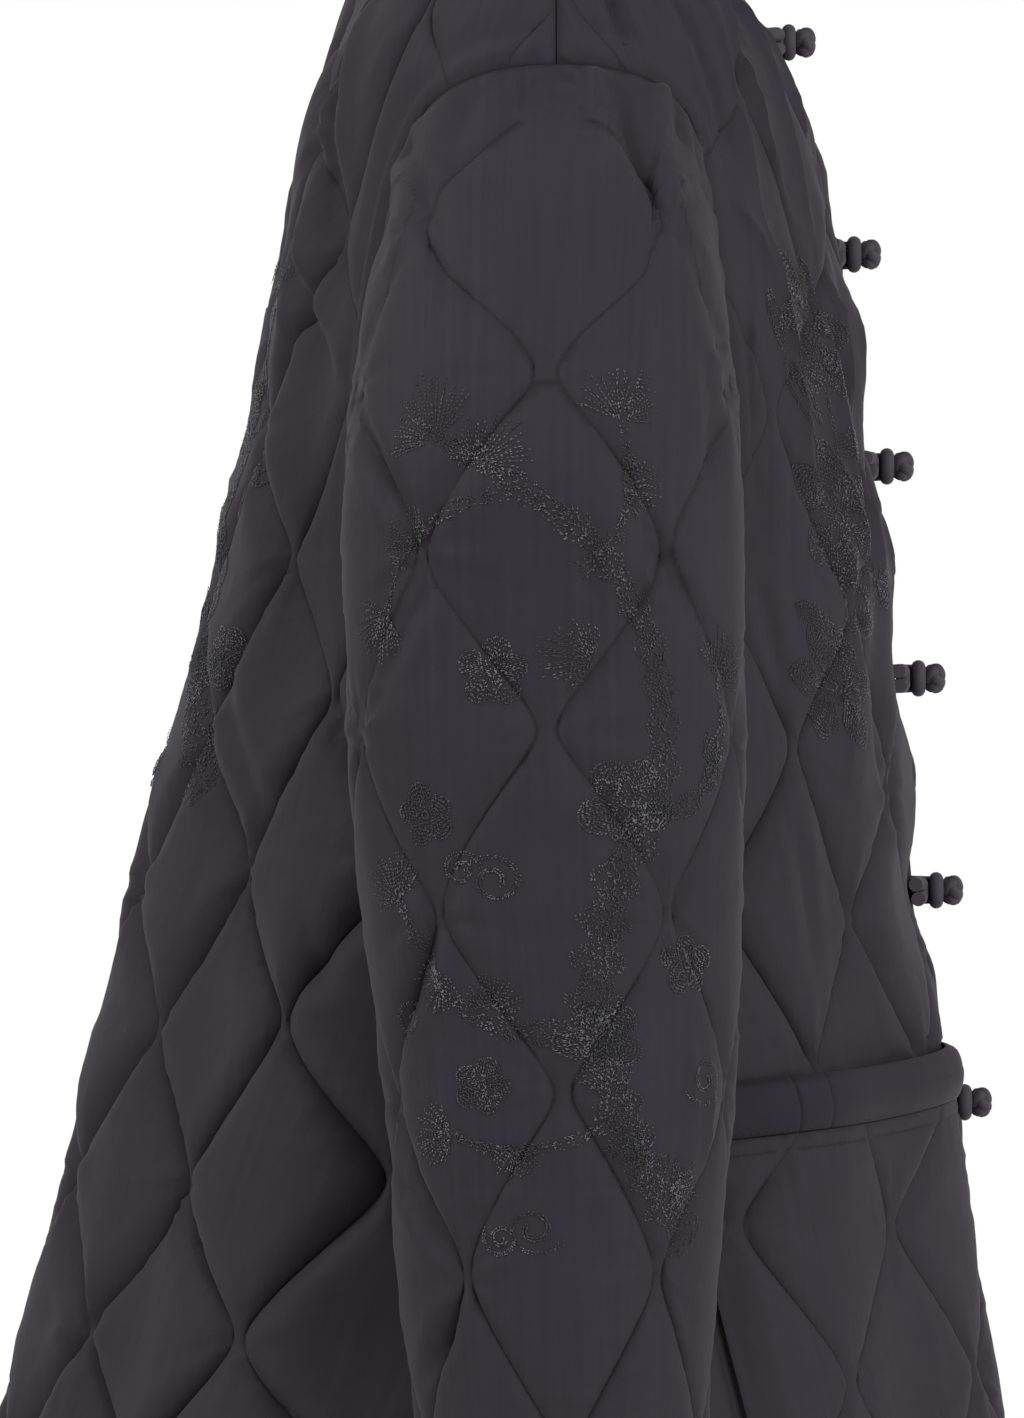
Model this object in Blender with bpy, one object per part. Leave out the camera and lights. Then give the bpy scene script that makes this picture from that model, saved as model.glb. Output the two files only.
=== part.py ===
"""Quilted down jacket with a stand collar, patch pockets and knotted frog closures.

Metres, +Z up, front towards -Y, wearer's right towards -X. The origin is the middle of the neck, level with
the neck ends of the shoulder seams. Every cloth piece is a closed wall with a plain inner face. Its outer face
is raised between wavy quilting lines. A place on a panel is given by two lengths: across, from the centre
front or centre back, and rise, up from the hem.
"""

import math
from collections import namedtuple

import bmesh
import bpy
import numpy as np
from mathutils import Vector
from mathutils.geometry import delaunay_2d_cdt

# Cloth
WALL = 0.003
LOFT = 0.009
LOFT_RUN = 0.024
LOFT_FULLNESS = 0.8
SEAM_FLAT = 0.004
SEAM_GAP = 0.0003
TOUCH_GAP = 0.0007
FOLD_ENDS = 5

# Quilting: neighbouring lines swing towards and away from each other
Quilt = namedtuple("Quilt", "period swing start shift")
QUILT_PITCH = 0.0435
FRONT_QUILT = Quilt(period=0.1280, swing=0.395, start=0.253, shift=0.0102)
BACK_QUILT = Quilt(period=0.1280, swing=0.395, start=0.143, shift=0.0261)
SLEEVE_QUILT = Quilt(period=0.1427, swing=0.410, start=0.090, shift=0.0)
SLEEVE_LINES = 10
FRONT_LINES = (-1, 9)
BACK_LINES = (-9, 8)
POCKET_LINES = (0, 6)

# Mesh steps, and how finely the forms are measured
LINE_STEP = 0.0203
EDGE_STEP = 0.022
INNER_STEP = 0.036
LINE_MARGIN = 0.007
WIDE_CELL = 0.035
WELD = 0.00005
BODY_SAMPLES = 161
QUARTER_SAMPLES = 61
ARMHOLE_SAMPLES = 241
SLEEVE_SAMPLES = 81

# Front edge and closures
BAND_WIDTH = 0.020
BAND_ROLL = 0.003
BAND_STATIONS = 43
EDGE_BOW = 0.004
EDGE_BOW_RUN = 0.05
FROG_TOP_Z = -0.0759
FROG_SPACING = 0.0912
FROG_COUNT = 6
CORD_RADIUS = 0.0028
CORD_SIDES = 6
CORD_STEPS = 5
BAR_LENGTH = 0.032
BAR_END = 0.0039
BAR_BEND = (60, 0, -60)
LOOP_RADIUS = 0.0049
LOOP_LEAD = 0.0138
LOOP_OPENING = 40
LOOP_STEPS = 11
KNOT_RADIUS = 0.0069
KNOT_HEIGHT = 0.0045
KNOT_NECK = 0.0016
KNOT_SEAT = 0.76
KNOT_LOBES = 0.07
KNOT_SIDES = 12
KNOT_TILTS = (-66, -40, -12, 16, 44, 70)

# Pockets
POCKET_FRONT = 0.058
POCKET_WIDTH = 0.212
POCKET_FOOT = 0.022
POCKET_HEAD = 0.203
POCKET_DROP = 0.024
POCKET_BAND = 0.0225
POCKET_BAND_ROLL = 0.003
POCKET_GAPE = 0.016
POCKET_GAPE_RUN = 0.075
POCKET_STEPS = 11

# Armholes, in lengths from the side line
ARMHOLE_FRONT = 0.0805
ARMHOLE_BACK = 0.0915
ARMHOLE_SQUARE = 0.25
ARMHOLE_STEPS = 14
SLEEVE_ANGLE_TOP = math.radians(30)
SLEEVE_ANGLE_FOOT = math.radians(64)
SLEEVE_SPRING = 0.8
SLEEVE_SEAM_SHARE = 0.05

# Collar
NECK_STEPS = 9
COLLAR_WALL = 0.005
COLLAR_NOTCH = 0.007
COLLAR_NOTCH_SHARE = 0.12
COLLAR_ROUND = 0.002

# Body sections from the neckline to the hem, on the inner face
Ring = namedtuple("Ring", "side_x side_z front_y front_z back_y back_z")
BODY_RINGS = (
    Ring(side_x=0.072, side_z=0.000, front_y=-0.071, front_z=-0.062, back_y=0.058, back_z=-0.014),
    Ring(side_x=0.128, side_z=-0.024, front_y=-0.087, front_z=-0.092, back_y=0.081, back_z=-0.075),
    Ring(side_x=0.180, side_z=-0.052, front_y=-0.105, front_z=-0.138, back_y=0.101, back_z=-0.138),
    Ring(side_x=0.210, side_z=-0.101, front_y=-0.115, front_z=-0.190, back_y=0.109, back_z=-0.190),
    Ring(side_x=0.222, side_z=-0.192, front_y=-0.127, front_z=-0.268, back_y=0.126, back_z=-0.268),
    Ring(side_x=0.206, side_z=-0.300, front_y=-0.139, front_z=-0.345, back_y=0.144, back_z=-0.345),
    Ring(side_x=0.212, side_z=-0.420, front_y=-0.147, front_z=-0.440, back_y=0.166, back_z=-0.440),
    Ring(side_x=0.226, side_z=-0.550, front_y=-0.163, front_z=-0.558, back_y=0.195, back_z=-0.558),
    Ring(side_x=0.244, side_z=-0.700, front_y=-0.187, front_z=-0.700, back_y=0.231, back_z=-0.700),
)
TIP_RING = 3
UNDERARM_RING = 5
ROUNDNESS = 0.84

# Sleeve sections below the cap, on the inner face of the wearer's left sleeve
Section = namedtuple("Section", "along inner_x inner_z outer_x outer_z centre_y half_y")
SLEEVE_SECTIONS = (
    Section(along=0.36, inner_x=0.236, inner_z=-0.338, outer_x=0.330, outer_z=-0.300, centre_y=0.005, half_y=0.0715),
    Section(along=0.54, inner_x=0.243, inner_z=-0.430, outer_x=0.340, outer_z=-0.418, centre_y=0.003, half_y=0.0685),
    Section(along=0.72, inner_x=0.254, inner_z=-0.530, outer_x=0.345, outer_z=-0.522, centre_y=-0.002, half_y=0.0595),
    Section(along=0.88, inner_x=0.264, inner_z=-0.615, outer_x=0.348, outer_z=-0.609, centre_y=-0.002, half_y=0.0515),
    Section(along=1.00, inner_x=0.271, inner_z=-0.678, outer_x=0.350, outer_z=-0.675, centre_y=-0.004, half_y=0.0460),
)
SLEEVE_GIRTH = 0.44
SLEEVE_LENGTH = 0.62

# Largest folds: a soft ridge (height above 0) or trough between two places on a panel
Fold = namedtuple("Fold", "high_across high_rise low_across low_rise half_width height")
FRONT_FOLDS = (
    Fold(high_across=0.075, high_rise=0.66, low_across=0.100, low_rise=0.30, half_width=0.028, height=0.005),
    Fold(high_across=0.115, high_rise=0.62, low_across=0.150, low_rise=0.26, half_width=0.028, height=0.005),
    Fold(high_across=0.150, high_rise=0.33, low_across=0.190, low_rise=-0.05, half_width=0.050, height=-0.007),
    Fold(high_across=0.080, high_rise=0.26, low_across=0.105, low_rise=-0.05, half_width=0.050, height=0.006),
)
BACK_FOLDS = (
    Fold(high_across=0.150, high_rise=0.62, low_across=0.185, low_rise=0.28, half_width=0.034, height=-0.006),
    Fold(high_across=0.060, high_rise=0.40, low_across=0.075, low_rise=-0.05, half_width=0.055, height=0.006),
    Fold(high_across=0.150, high_rise=0.36, low_across=0.190, low_rise=-0.05, half_width=0.055, height=-0.009),
    Fold(high_across=0.235, high_rise=0.33, low_across=0.280, low_rise=-0.05, half_width=0.050, height=0.007),
)

# Stand collar: its height and its lean outwards at the front, side and back
Stand = namedtuple("Stand", "turn height lean")
COLLAR_STANDS = (
    Stand(turn=0.0, height=0.034, lean=math.radians(20)),
    Stand(turn=math.pi / 2, height=0.036, lean=math.radians(-6)),
    Stand(turn=math.pi, height=0.038, lean=math.radians(-10)),
)

Cloth = namedtuple("Cloth", "name colour roughness")
SHELL = Cloth(name="charcoal_taffeta", colour=(0.042, 0.040, 0.050, 1.0), roughness=0.6)
TRIM = Cloth(name="charcoal_trim_taffeta", colour=(0.042, 0.040, 0.050, 1.0), roughness=0.55)
CORD = Cloth(name="charcoal_frog_cord", colour=(0.050, 0.045, 0.052, 1.0), roughness=0.5)


def clear_scene():
    for thing in list(bpy.data.objects):
        bpy.data.objects.remove(thing)


def unit(vectors):
    """Vectors of length one."""
    return vectors / np.maximum(np.linalg.norm(vectors, axis=-1, keepdims=True), 1e-12)


def ease(value):
    """Smooth step from 0 to 1."""
    value = np.clip(value, 0.0, 1.0)
    return value * value * (3.0 - 2.0 * value)


def through(rows, column, at):
    """A smooth curve through one column of a table, with at from 0 at the first row to 1 at the last."""
    values = np.array([getattr(row, column) for row in rows])
    ends = (2 * values[0] - values[1], 2 * values[-1] - values[-2])
    values = np.concatenate([ends[:1], values, ends[1:]])
    steps = len(rows) - 1
    place = np.clip(at, 0.0, 1.0) * steps
    row = np.minimum(place.astype(int), steps - 1)
    part = place - row
    before, here, after, beyond = (values[row + k] for k in range(4))
    bend = 2 * before - 5 * here + 4 * after - beyond + part * (3 * (here - after) + beyond - before)
    return here + 0.5 * part * (after - before + part * bend)


def body_ring(turn, down):
    """Points of the body's inner face. turn is 0 at centre front, pi / 2 at the wearer's right."""
    side = np.sin(turn)
    ahead = np.cos(turn)
    front = ahead > 0
    reach = np.where(front, through(BODY_RINGS, "front_y", down), through(BODY_RINGS, "back_y", down))
    level = np.where(front, through(BODY_RINGS, "front_z", down), through(BODY_RINGS, "back_z", down))
    x = -through(BODY_RINGS, "side_x", down) * np.sign(side) * np.abs(side) ** ROUNDNESS
    y = reach * np.abs(ahead) ** ROUNDNESS
    z = through(BODY_RINGS, "side_z", down) * side**2 + level * ahead**2
    return np.stack([x, y, z], axis=-1)


def body_outward(turn, down):
    """Outward directions of the body's inner face."""
    near = 1e-3
    around = body_ring(turn + near, down) - body_ring(turn - near, down)
    fall = body_ring(turn, down + near) - body_ring(turn, down - near)
    return unit(np.cross(around, fall))


def lengths_along(points):
    """Length from the first point to each of the others, along the second last axis."""
    steps = np.linalg.norm(np.diff(points, axis=-2), axis=-1)
    return np.concatenate([np.zeros(steps.shape[:-1] + (1,)), np.cumsum(steps, axis=-1)], axis=-1)


# Lengths of the body's form, worked out once: how far each section is below the neckline, how long a quarter
# of each section is, and how the angle grows with the length along a middle section.
DOWNS = np.linspace(0.0, 1.0, BODY_SAMPLES)
MERIDIANS = [body_ring(np.full_like(DOWNS, turn), DOWNS) for turn in (0.0, math.pi / 2, math.pi)]
FALLS = np.mean([lengths_along(points) for points in MERIDIANS], axis=0)
BODY_RISE = FALLS[-1]
FRONT_LEVELS = MERIDIANS[0][:, 2]
QUARTER_TURNS = np.linspace(0.0, math.pi / 2, QUARTER_SAMPLES)
MIDDLE_DOWN = 0.6


def quarter_lengths(turns):
    """Length of each section over the given turns."""
    return np.array([lengths_along(body_ring(turns, np.full_like(turns, down)))[-1] for down in DOWNS])


QUARTERS = {
    "front": quarter_lengths(QUARTER_TURNS),
    "back": quarter_lengths(math.pi - QUARTER_TURNS),
}
MIDDLE_LENGTHS = {
    "front": lengths_along(body_ring(QUARTER_TURNS, np.full_like(QUARTER_TURNS, MIDDLE_DOWN))),
    "back": lengths_along(body_ring(math.pi - QUARTER_TURNS, np.full_like(QUARTER_TURNS, MIDDLE_DOWN))),
}
TIP_DOWN = TIP_RING / (len(BODY_RINGS) - 1)
UNDERARM_DOWN = UNDERARM_RING / (len(BODY_RINGS) - 1)


def down_at(rise):
    return np.interp(BODY_RISE - rise, FALLS, DOWNS)


def rise_at(down):
    return BODY_RISE - np.interp(down, DOWNS, FALLS)


def rise_at_level(across, level):
    """Rises at which the front crosses levels, at lengths across from the centre front."""
    rises = rise_at(DOWNS)
    found = []
    for reach, height in zip(across, level):
        heights = body_ring(turn_at("front", np.full_like(rises, reach), rises), DOWNS)[:, 2]
        found.append(np.interp(-height, -heights, rises))
    return np.array(found)


def quarter_at(half, rise):
    """Length from the centre line to the side line at a rise."""
    return np.interp(down_at(rise), DOWNS, QUARTERS[half])


def spread_at(half, rise):
    """How far the quilting columns have fanned out with the flare."""
    narrowest = np.interp(UNDERARM_DOWN, DOWNS, QUARTERS[half])
    return np.maximum(1.0, quarter_at(half, rise) / narrowest)


def turn_at(half, across, rise):
    """Angle round the body of a place on a panel."""
    share = np.abs(across) / quarter_at(half, rise)
    middle = MIDDLE_LENGTHS[half]
    turn = np.interp(share, middle / middle[-1], QUARTER_TURNS)
    turn = turn + np.maximum(share - 1.0, 0.0)
    if half == "back":
        turn = math.pi - turn
    return np.where(across < 0, -turn, turn)


def fold_height(folds, across, rise):
    """Sum of the folds' heights at places on a panel."""
    total = np.zeros_like(rise)
    for fold in folds:
        part = (fold.high_rise - rise) / (fold.high_rise - fold.low_rise)
        middle = fold.high_across + part * (fold.low_across - fold.high_across)
        beside = np.clip((np.abs(across) - middle) / fold.half_width, -1.0, 1.0)
        ends = ease(part * FOLD_ENDS) * ease((1.0 - part) * FOLD_ENDS)
        total = total + fold.height * 0.5 * (1.0 + np.cos(math.pi * beside)) * ends
    return total


def edge_bow(across, rise):
    """The front edges bow outwards between the closures."""
    turns = (FROG_TOP_Z - np.interp(BODY_RISE - rise, FALLS, FRONT_LEVELS)) / FROG_SPACING
    below = (turns > 0).astype(float)
    return EDGE_BOW * below * np.sin(math.pi * turns) ** 2 * np.exp(-((across / EDGE_BOW_RUN) ** 2))


def on_body(half, places, height):
    """Points of a body panel at places (across, rise), moved out by height."""
    across, rise = places[:, 0], places[:, 1]
    turn = turn_at(half, across, rise)
    down = down_at(rise)
    if half == "front":
        extra = fold_height(FRONT_FOLDS, across, rise) + edge_bow(across, rise)
    else:
        extra = fold_height(BACK_FOLDS, across, rise)
    return body_ring(turn, down) + body_outward(turn, down) * (height + extra)[:, None]


def quilt_line(number, rise, quilt):
    """Column position of a quilting line, in pitches."""
    swing = quilt.swing if number % 2 == 0 else -quilt.swing
    return number + 0.5 + swing * np.cos(2 * math.pi * (rise - quilt.start) / quilt.period)


def from_lines(column, rise, pitch, quilt):
    """Distance to the nearest quilting line."""
    base = np.floor(column).astype(int)
    nearest = np.full_like(column, 1.0)
    turn = 2 * math.pi * (rise - quilt.start) / quilt.period
    slope = quilt.swing * pitch * 2 * math.pi / quilt.period * np.sin(turn)
    for step in (-2, -1, 0, 1):
        number = base + step
        line = number + 0.5 + np.where(number % 2 == 0, quilt.swing, -quilt.swing) * np.cos(turn)
        nearest = np.minimum(nearest, np.abs(column - line) * pitch / np.sqrt(1.0 + slope**2))
    return nearest


def from_outline(outline, places):
    """Distance from places to the edges of an outline."""
    begin = outline
    finish = np.roll(outline, -1, axis=0)
    run = finish - begin
    reach = places[:, None, :] - begin[None, :, :]
    size = np.maximum((run**2).sum(axis=1), 1e-12)
    part = np.clip((reach * run).sum(axis=2) / size, 0.0, 1.0)
    return np.linalg.norm(reach - part[:, :, None] * run, axis=2).min(axis=1)


def inside(outline, places, margin):
    """True for places inside an outline and at least margin from it."""
    begin = outline
    finish = np.roll(outline, -1, axis=0)
    x, y = places[:, 0:1], places[:, 1:2]
    spans = (begin[:, 1] > y) != (finish[:, 1] > y)
    rise = np.where(finish[:, 1] == begin[:, 1], 1e-12, finish[:, 1] - begin[:, 1])
    crossing = begin[:, 0] + (y - begin[:, 1]) / rise * (finish[:, 0] - begin[:, 0])
    within = (spans & (x < crossing)).sum(axis=1) % 2 == 1
    return within & (from_outline(outline, places) > margin)


def loft(distance):
    """Rise of the filling at a distance from the nearest sewn line."""
    part = np.clip(distance / LOFT_RUN, 0.0, 1.0)
    return LOFT * (1.0 - (1.0 - part) ** 2) ** LOFT_FULLNESS


def runs_inside(outline, line):
    """The stretches of a line that lie inside an outline."""
    kept = inside(outline, line, LINE_MARGIN)
    runs = []
    current = []
    for place, keep in zip(line, kept):
        if keep:
            current.append(place)
        elif current:
            runs.append(current)
            current = []
    if current:
        runs.append(current)
    return [np.array(run) for run in runs if len(run) > 1]


def quilt_places(outline, column_place, numbers, pitch_at, quilt):
    """Quilting lines inside an outline, and places between them for the raised filling."""
    low = outline[:, 1].min()
    high = outline[:, 1].max()
    rises = low + LINE_STEP * np.arange(int((high - low) / LINE_STEP) + 2)
    lines = []
    fills = []
    for number in range(numbers[0], numbers[1] + 1):
        here = quilt_line(number, rises, quilt)
        after = quilt_line(number + 1, rises, quilt)
        lines += runs_inside(outline, np.stack([column_place(here, rises), rises], axis=1))
        for rise, left, right, pitch in zip(rises, here, after, pitch_at(rises)):
            width = (right - left) * pitch
            count = 1 if width < WIDE_CELL else 2
            for part in range(1, count + 1):
                column = left + (right - left) * part / (count + 1)
                place = column_place(np.array([column]), np.array([rise]))[0]
                fills.append((place, rise))
    fills = np.array(fills)
    return lines, fills[inside(outline, fills, LINE_MARGIN)]


def grid_inside(outline, step, margin):
    """Evenly spaced places inside an outline."""
    low = outline.min(axis=0)
    high = outline.max(axis=0)
    across, rise = np.meshgrid(np.arange(low[0], high[0], step), np.arange(low[1], high[1], step))
    places = np.stack([across.ravel(), rise.ravel()], axis=1)
    return places[inside(outline, places, margin)]


def flat_triangles(outline, lines, fills):
    """Places and triangles of a flat piece, and the place of each outline corner."""
    places = [Vector(place) for place in outline]
    count = len(places)
    edges = [(number, (number + 1) % count) for number in range(count)]
    for line in lines:
        first = len(places)
        places += [Vector(place) for place in line]
        edges += [(first + step, first + step + 1) for step in range(len(line) - 1)]
    places += [Vector(place) for place in fills]
    verts, _, faces, sources, _, _ = delaunay_2d_cdt(places, edges, [], 1, 1e-7)
    corner = {}
    for number, source in enumerate(sources):
        for old in source:
            if old < count:
                corner[old] = number
    return np.array([tuple(vert) for vert in verts]), faces, [corner[number] for number in range(count)]


def add_part(name, cloth, points, faces, weld=False):
    """One closed solid with its own material."""
    mesh = bpy.data.meshes.new(name)
    mesh.from_pydata([tuple(point) for point in points], [], faces)
    shape = bmesh.new()
    shape.from_mesh(mesh)
    if weld:
        bmesh.ops.remove_doubles(shape, verts=shape.verts, dist=WELD)
    bmesh.ops.triangulate(shape, faces=shape.faces)
    bmesh.ops.recalc_face_normals(shape, faces=shape.faces)
    if shape.calc_volume(signed=True) < 0:
        bmesh.ops.reverse_faces(shape, faces=shape.faces)
    shape.to_mesh(mesh)
    shape.free()
    thing = bpy.data.objects.new(name, mesh)
    bpy.context.scene.collection.objects.link(thing)
    material = bpy.data.materials.new(cloth.name + "_" + name)
    material.use_nodes = True
    shader = material.node_tree.nodes["Principled BSDF"]
    shader.inputs["Base Color"].default_value = cloth.colour
    shader.inputs["Roughness"].default_value = cloth.roughness
    shader.inputs["Metallic"].default_value = 0.0
    mesh.materials.append(material)


def plain_places(outline):
    """Places of the plain inner face."""
    return grid_inside(outline, INNER_STEP, INNER_STEP / 3)


def add_cloth(name, outline, lines, fills, plain, spot, height_at, sewn_shut=()):
    """A cloth wall over an outline. Edges listed in sewn_shut are joined to each other, not closed by a rim."""
    outer, outer_faces, outer_corner = flat_triangles(outline, lines, fills)
    inner, inner_faces, inner_corner = flat_triangles(outline, [], plain)
    first = len(outer)
    points = np.concatenate([spot(outer, height_at(outer)), spot(inner, np.zeros(len(inner)))])
    faces = [tuple(face) for face in outer_faces]
    faces += [tuple(first + corner for corner in reversed(face)) for face in inner_faces]
    count = len(outline)
    for number in range(count):
        if number in sewn_shut:
            continue
        after = (number + 1) % count
        rim = (outer_corner[number], outer_corner[after], first + inner_corner[after], first + inner_corner[number])
        faces.append(rim)
    add_part(name, SHELL, points, faces, weld=bool(sewn_shut))


def sweep(name, cloth, sections):
    """A solid through closed sections of equal count, with flat ends."""
    count = len(sections[0])
    points = np.concatenate(sections)
    faces = [tuple(range(count)), tuple(reversed(range(len(points) - count, len(points))))]
    for row in range(len(sections) - 1):
        for corner in range(count):
            after = (corner + 1) % count
            base = row * count
            faces.append((base + corner, base + after, base + count + after, base + count + corner))
    add_part(name, cloth, points, faces)


def tube(path, radius, sides):
    """Sections of a round cord along a path."""
    path = np.array(path)
    along = unit(np.gradient(path, axis=0))
    across = unit(np.cross(along[0], (0.0, 0.0, 1.0)))
    sections = []
    for point, ahead in zip(path, along):
        across = unit(across - ahead * np.dot(across, ahead))
        other = np.cross(ahead, across)
        angles = np.arange(sides) * 2 * math.pi / sides
        ring = np.cos(angles)[:, None] * across + np.sin(angles)[:, None] * other
        sections.append(point + radius * ring)
    return sections


def steps_between(low, high, step):
    """Evenly spaced values from low up to, but not including, high."""
    count = max(1, int(round(abs(high - low) / step)))
    return low + (high - low) * np.arange(count) / count


def armhole_places(half, angles):
    """Places on the armhole edge, angle 0 at the shoulder and pi at the underarm."""
    tip = rise_at(TIP_DOWN)
    foot = rise_at(UNDERARM_DOWN)
    rise = (tip + foot) / 2 + (tip - foot) / 2 * np.cos(angles)
    width = ARMHOLE_FRONT if half == "front" else ARMHOLE_BACK
    bite = width * np.round(np.sin(angles), 12) ** ARMHOLE_SQUARE
    return np.stack([quarter_at(half, rise) - bite, rise], axis=1)


def armhole_shares(half):
    """Angles round an armhole edge, and the share of its length up to each of them."""
    angles = math.pi * ease(np.linspace(0.0, 1.0, ARMHOLE_SAMPLES))
    places = armhole_places(half, angles)
    lengths = lengths_along(body_ring(turn_at(half, places[:, 0], places[:, 1]), down_at(places[:, 1])))
    return angles, lengths / lengths[-1]


ARMHOLES = {half: armhole_shares(half) for half in ("front", "back")}
ARMHOLE_SHARES = np.linspace(0.0, 1.0, ARMHOLE_STEPS + 1)


def armhole_angle(half, share):
    angles, shares = ARMHOLES[half]
    return np.interp(share, shares, angles)


def side_edge(half):
    """Outline of the right half of a panel's side: up the side seam, round the armhole, along the shoulder."""
    rise = steps_between(0.0, rise_at(UNDERARM_DOWN), EDGE_STEP)
    seam = np.stack([quarter_at(half, rise) - SEAM_GAP / 2, rise], axis=1)
    armhole = armhole_places(half, armhole_angle(half, ARMHOLE_SHARES[::-1]))
    armhole[[0, -1], 0] -= SEAM_GAP / 2
    rise = steps_between(rise_at(TIP_DOWN), BODY_RISE, EDGE_STEP)[1:]
    shoulder = np.stack([quarter_at(half, rise) - SEAM_GAP / 2, rise], axis=1)
    return np.concatenate([seam, armhole, shoulder])


def neck_across(half):
    """Lengths from the centre line at which the neckline is divided, for the panels and the collar alike."""
    begin = BAND_WIDTH if half == "front" else 0.0
    return np.linspace(begin, quarter_at(half, BODY_RISE), NECK_STEPS + 1)


def neck_edge(half):
    """The neckline of a panel's right half, from the shoulder to the centre."""
    across = neck_across(half)[::-1].copy()
    across[0] -= SEAM_GAP / 2
    return np.stack([across, np.full_like(across, BODY_RISE)], axis=1)


def level_edge(begin, finish, rise):
    across = steps_between(begin, finish, EDGE_STEP)
    return np.stack([across, np.full_like(across, rise)], axis=1)


def pocket_head(across):
    """Rise of the pocket's mouth."""
    return POCKET_HEAD - POCKET_DROP * (np.abs(across) - POCKET_FRONT) / POCKET_WIDTH


POCKET_ACROSS = np.linspace(POCKET_FRONT, POCKET_FRONT + POCKET_WIDTH, POCKET_STEPS + 1)


def pocket_outline(below_head):
    """Outline of the patch on the right front, up to a distance below the pocket's mouth."""
    head = pocket_head(POCKET_ACROSS) - below_head
    foot = np.stack([POCKET_ACROSS, np.full_like(head, POCKET_FOOT)], axis=1)
    top = np.stack([POCKET_ACROSS, head], axis=1)[::-1]
    rise = steps_between(POCKET_FOOT, head[-1], EDGE_STEP)[1:]
    side = np.stack([np.full_like(rise, POCKET_ACROSS[-1]), rise], axis=1)
    rise = steps_between(head[0], POCKET_FOOT, EDGE_STEP)[1:]
    edge = np.stack([np.full_like(rise, POCKET_ACROSS[0]), rise], axis=1)
    return np.concatenate([foot, side, top, edge])


POCKET_PATCH = pocket_outline(POCKET_BAND + SEAM_GAP / 2)
POCKET_WHOLE = np.array([
    (POCKET_ACROSS[0], POCKET_FOOT),
    (POCKET_ACROSS[-1], POCKET_FOOT),
    (POCKET_ACROSS[-1], pocket_head(POCKET_ACROSS[-1])),
    (POCKET_ACROSS[0], pocket_head(POCKET_ACROSS[0])),
])


def front_height(outline):
    def height_at(places):
        across, rise = np.abs(places[:, 0]), places[:, 1]
        right = np.stack([across, rise], axis=1)
        pitch = QUILT_PITCH * spread_at("front", rise)
        distance = from_lines(across / pitch - FRONT_QUILT.shift / QUILT_PITCH, rise, pitch, FRONT_QUILT)
        seam = np.minimum(from_outline(outline, places), from_outline(POCKET_WHOLE, right)) - SEAM_FLAT
        covered = inside(POCKET_WHOLE, right, 0.0)
        return WALL + np.where(covered, 0.0, loft(np.minimum(distance, seam)))
    return height_at


def back_height(outline):
    def height_at(places):
        across, rise = places[:, 0], places[:, 1]
        pitch = QUILT_PITCH * spread_at("back", rise)
        distance = from_lines(across / pitch - BACK_QUILT.shift / QUILT_PITCH, rise, pitch, BACK_QUILT)
        return WALL + loft(np.minimum(distance, from_outline(outline, places) - SEAM_FLAT))
    return height_at


def front_column(column, rise):
    return (column + FRONT_QUILT.shift / QUILT_PITCH) * QUILT_PITCH * spread_at("front", rise)


def back_column(column, rise):
    return (column + BACK_QUILT.shift / QUILT_PITCH) * QUILT_PITCH * spread_at("back", rise)


def pitch_on(half):
    return lambda rise: QUILT_PITCH * spread_at(half, rise)


MIRROR = np.array([-1.0, 1.0])


def add_pair(names, outline, lines, fills, spot, height_for):
    """A right piece and its mirror image on the left, on the front of the body."""
    plain = plain_places(outline)
    add_cloth(names[0], outline, lines, fills, plain, spot, height_for(outline))
    turned = outline[::-1] * MIRROR
    sewn = [line * MIRROR for line in lines]
    add_cloth(names[1], turned, sewn, fills * MIRROR, plain * MIRROR, spot, height_for(turned))


def make_room(lines, fills):
    """The front's quilting without what the pocket covers, and the pocket's own places in its stead."""
    kept = []
    for line in lines:
        under = inside(POCKET_WHOLE, line, 0.0) | (from_outline(POCKET_WHOLE, line) < LINE_MARGIN)
        for run in np.split(line, np.flatnonzero(np.diff(under)) + 1):
            first = run[:1]
            clear = not inside(POCKET_WHOLE, first, 0.0)[0] and from_outline(POCKET_WHOLE, first)[0] >= LINE_MARGIN
            if len(run) > 1 and clear:
                kept.append(run)
    clear = ~inside(POCKET_WHOLE, fills, 0.0) & (from_outline(POCKET_WHOLE, fills) > LINE_MARGIN)
    mouth = np.stack([POCKET_ACROSS, pocket_head(POCKET_ACROSS)], axis=1)
    kept.append(np.concatenate([POCKET_PATCH, POCKET_PATCH[:1]]))
    kept.append(mouth)
    return kept, np.concatenate([fills[clear], plain_places(POCKET_PATCH)])


def add_fronts():
    begin = BAND_WIDTH + SEAM_GAP / 2
    edge_rise = steps_between(BODY_RISE, 0.0, EDGE_STEP)
    front_edge = np.stack([np.full_like(edge_rise, begin), edge_rise], axis=1)
    hem = level_edge(begin, quarter_at("front", 0.0) - SEAM_GAP / 2, 0.0)
    neck = neck_edge("front")
    neck[-1, 0] = begin
    outline = np.concatenate([hem, side_edge("front"), neck, front_edge[1:]])
    lines, fills = quilt_places(outline, front_column, FRONT_LINES, pitch_on("front"), FRONT_QUILT)
    lines, fills = make_room(lines, fills)
    add_pair(("front_right", "front_left"), outline, lines, fills,
             lambda places, height: on_body("front", places, height), front_height)


def add_back():
    side = side_edge("back")
    half_hem = quarter_at("back", 0.0) - SEAM_GAP / 2
    hem = level_edge(-half_hem, half_hem, 0.0)
    neck = neck_edge("back")
    outline = np.concatenate([hem, side, neck, neck[-2::-1] * MIRROR, side[:0:-1] * MIRROR])
    lines, fills = quilt_places(outline, back_column, BACK_LINES, pitch_on("back"), BACK_QUILT)
    add_cloth("back", outline, lines, fills, plain_places(outline),
              lambda places, height: on_body("back", places, height), back_height(outline))


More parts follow.
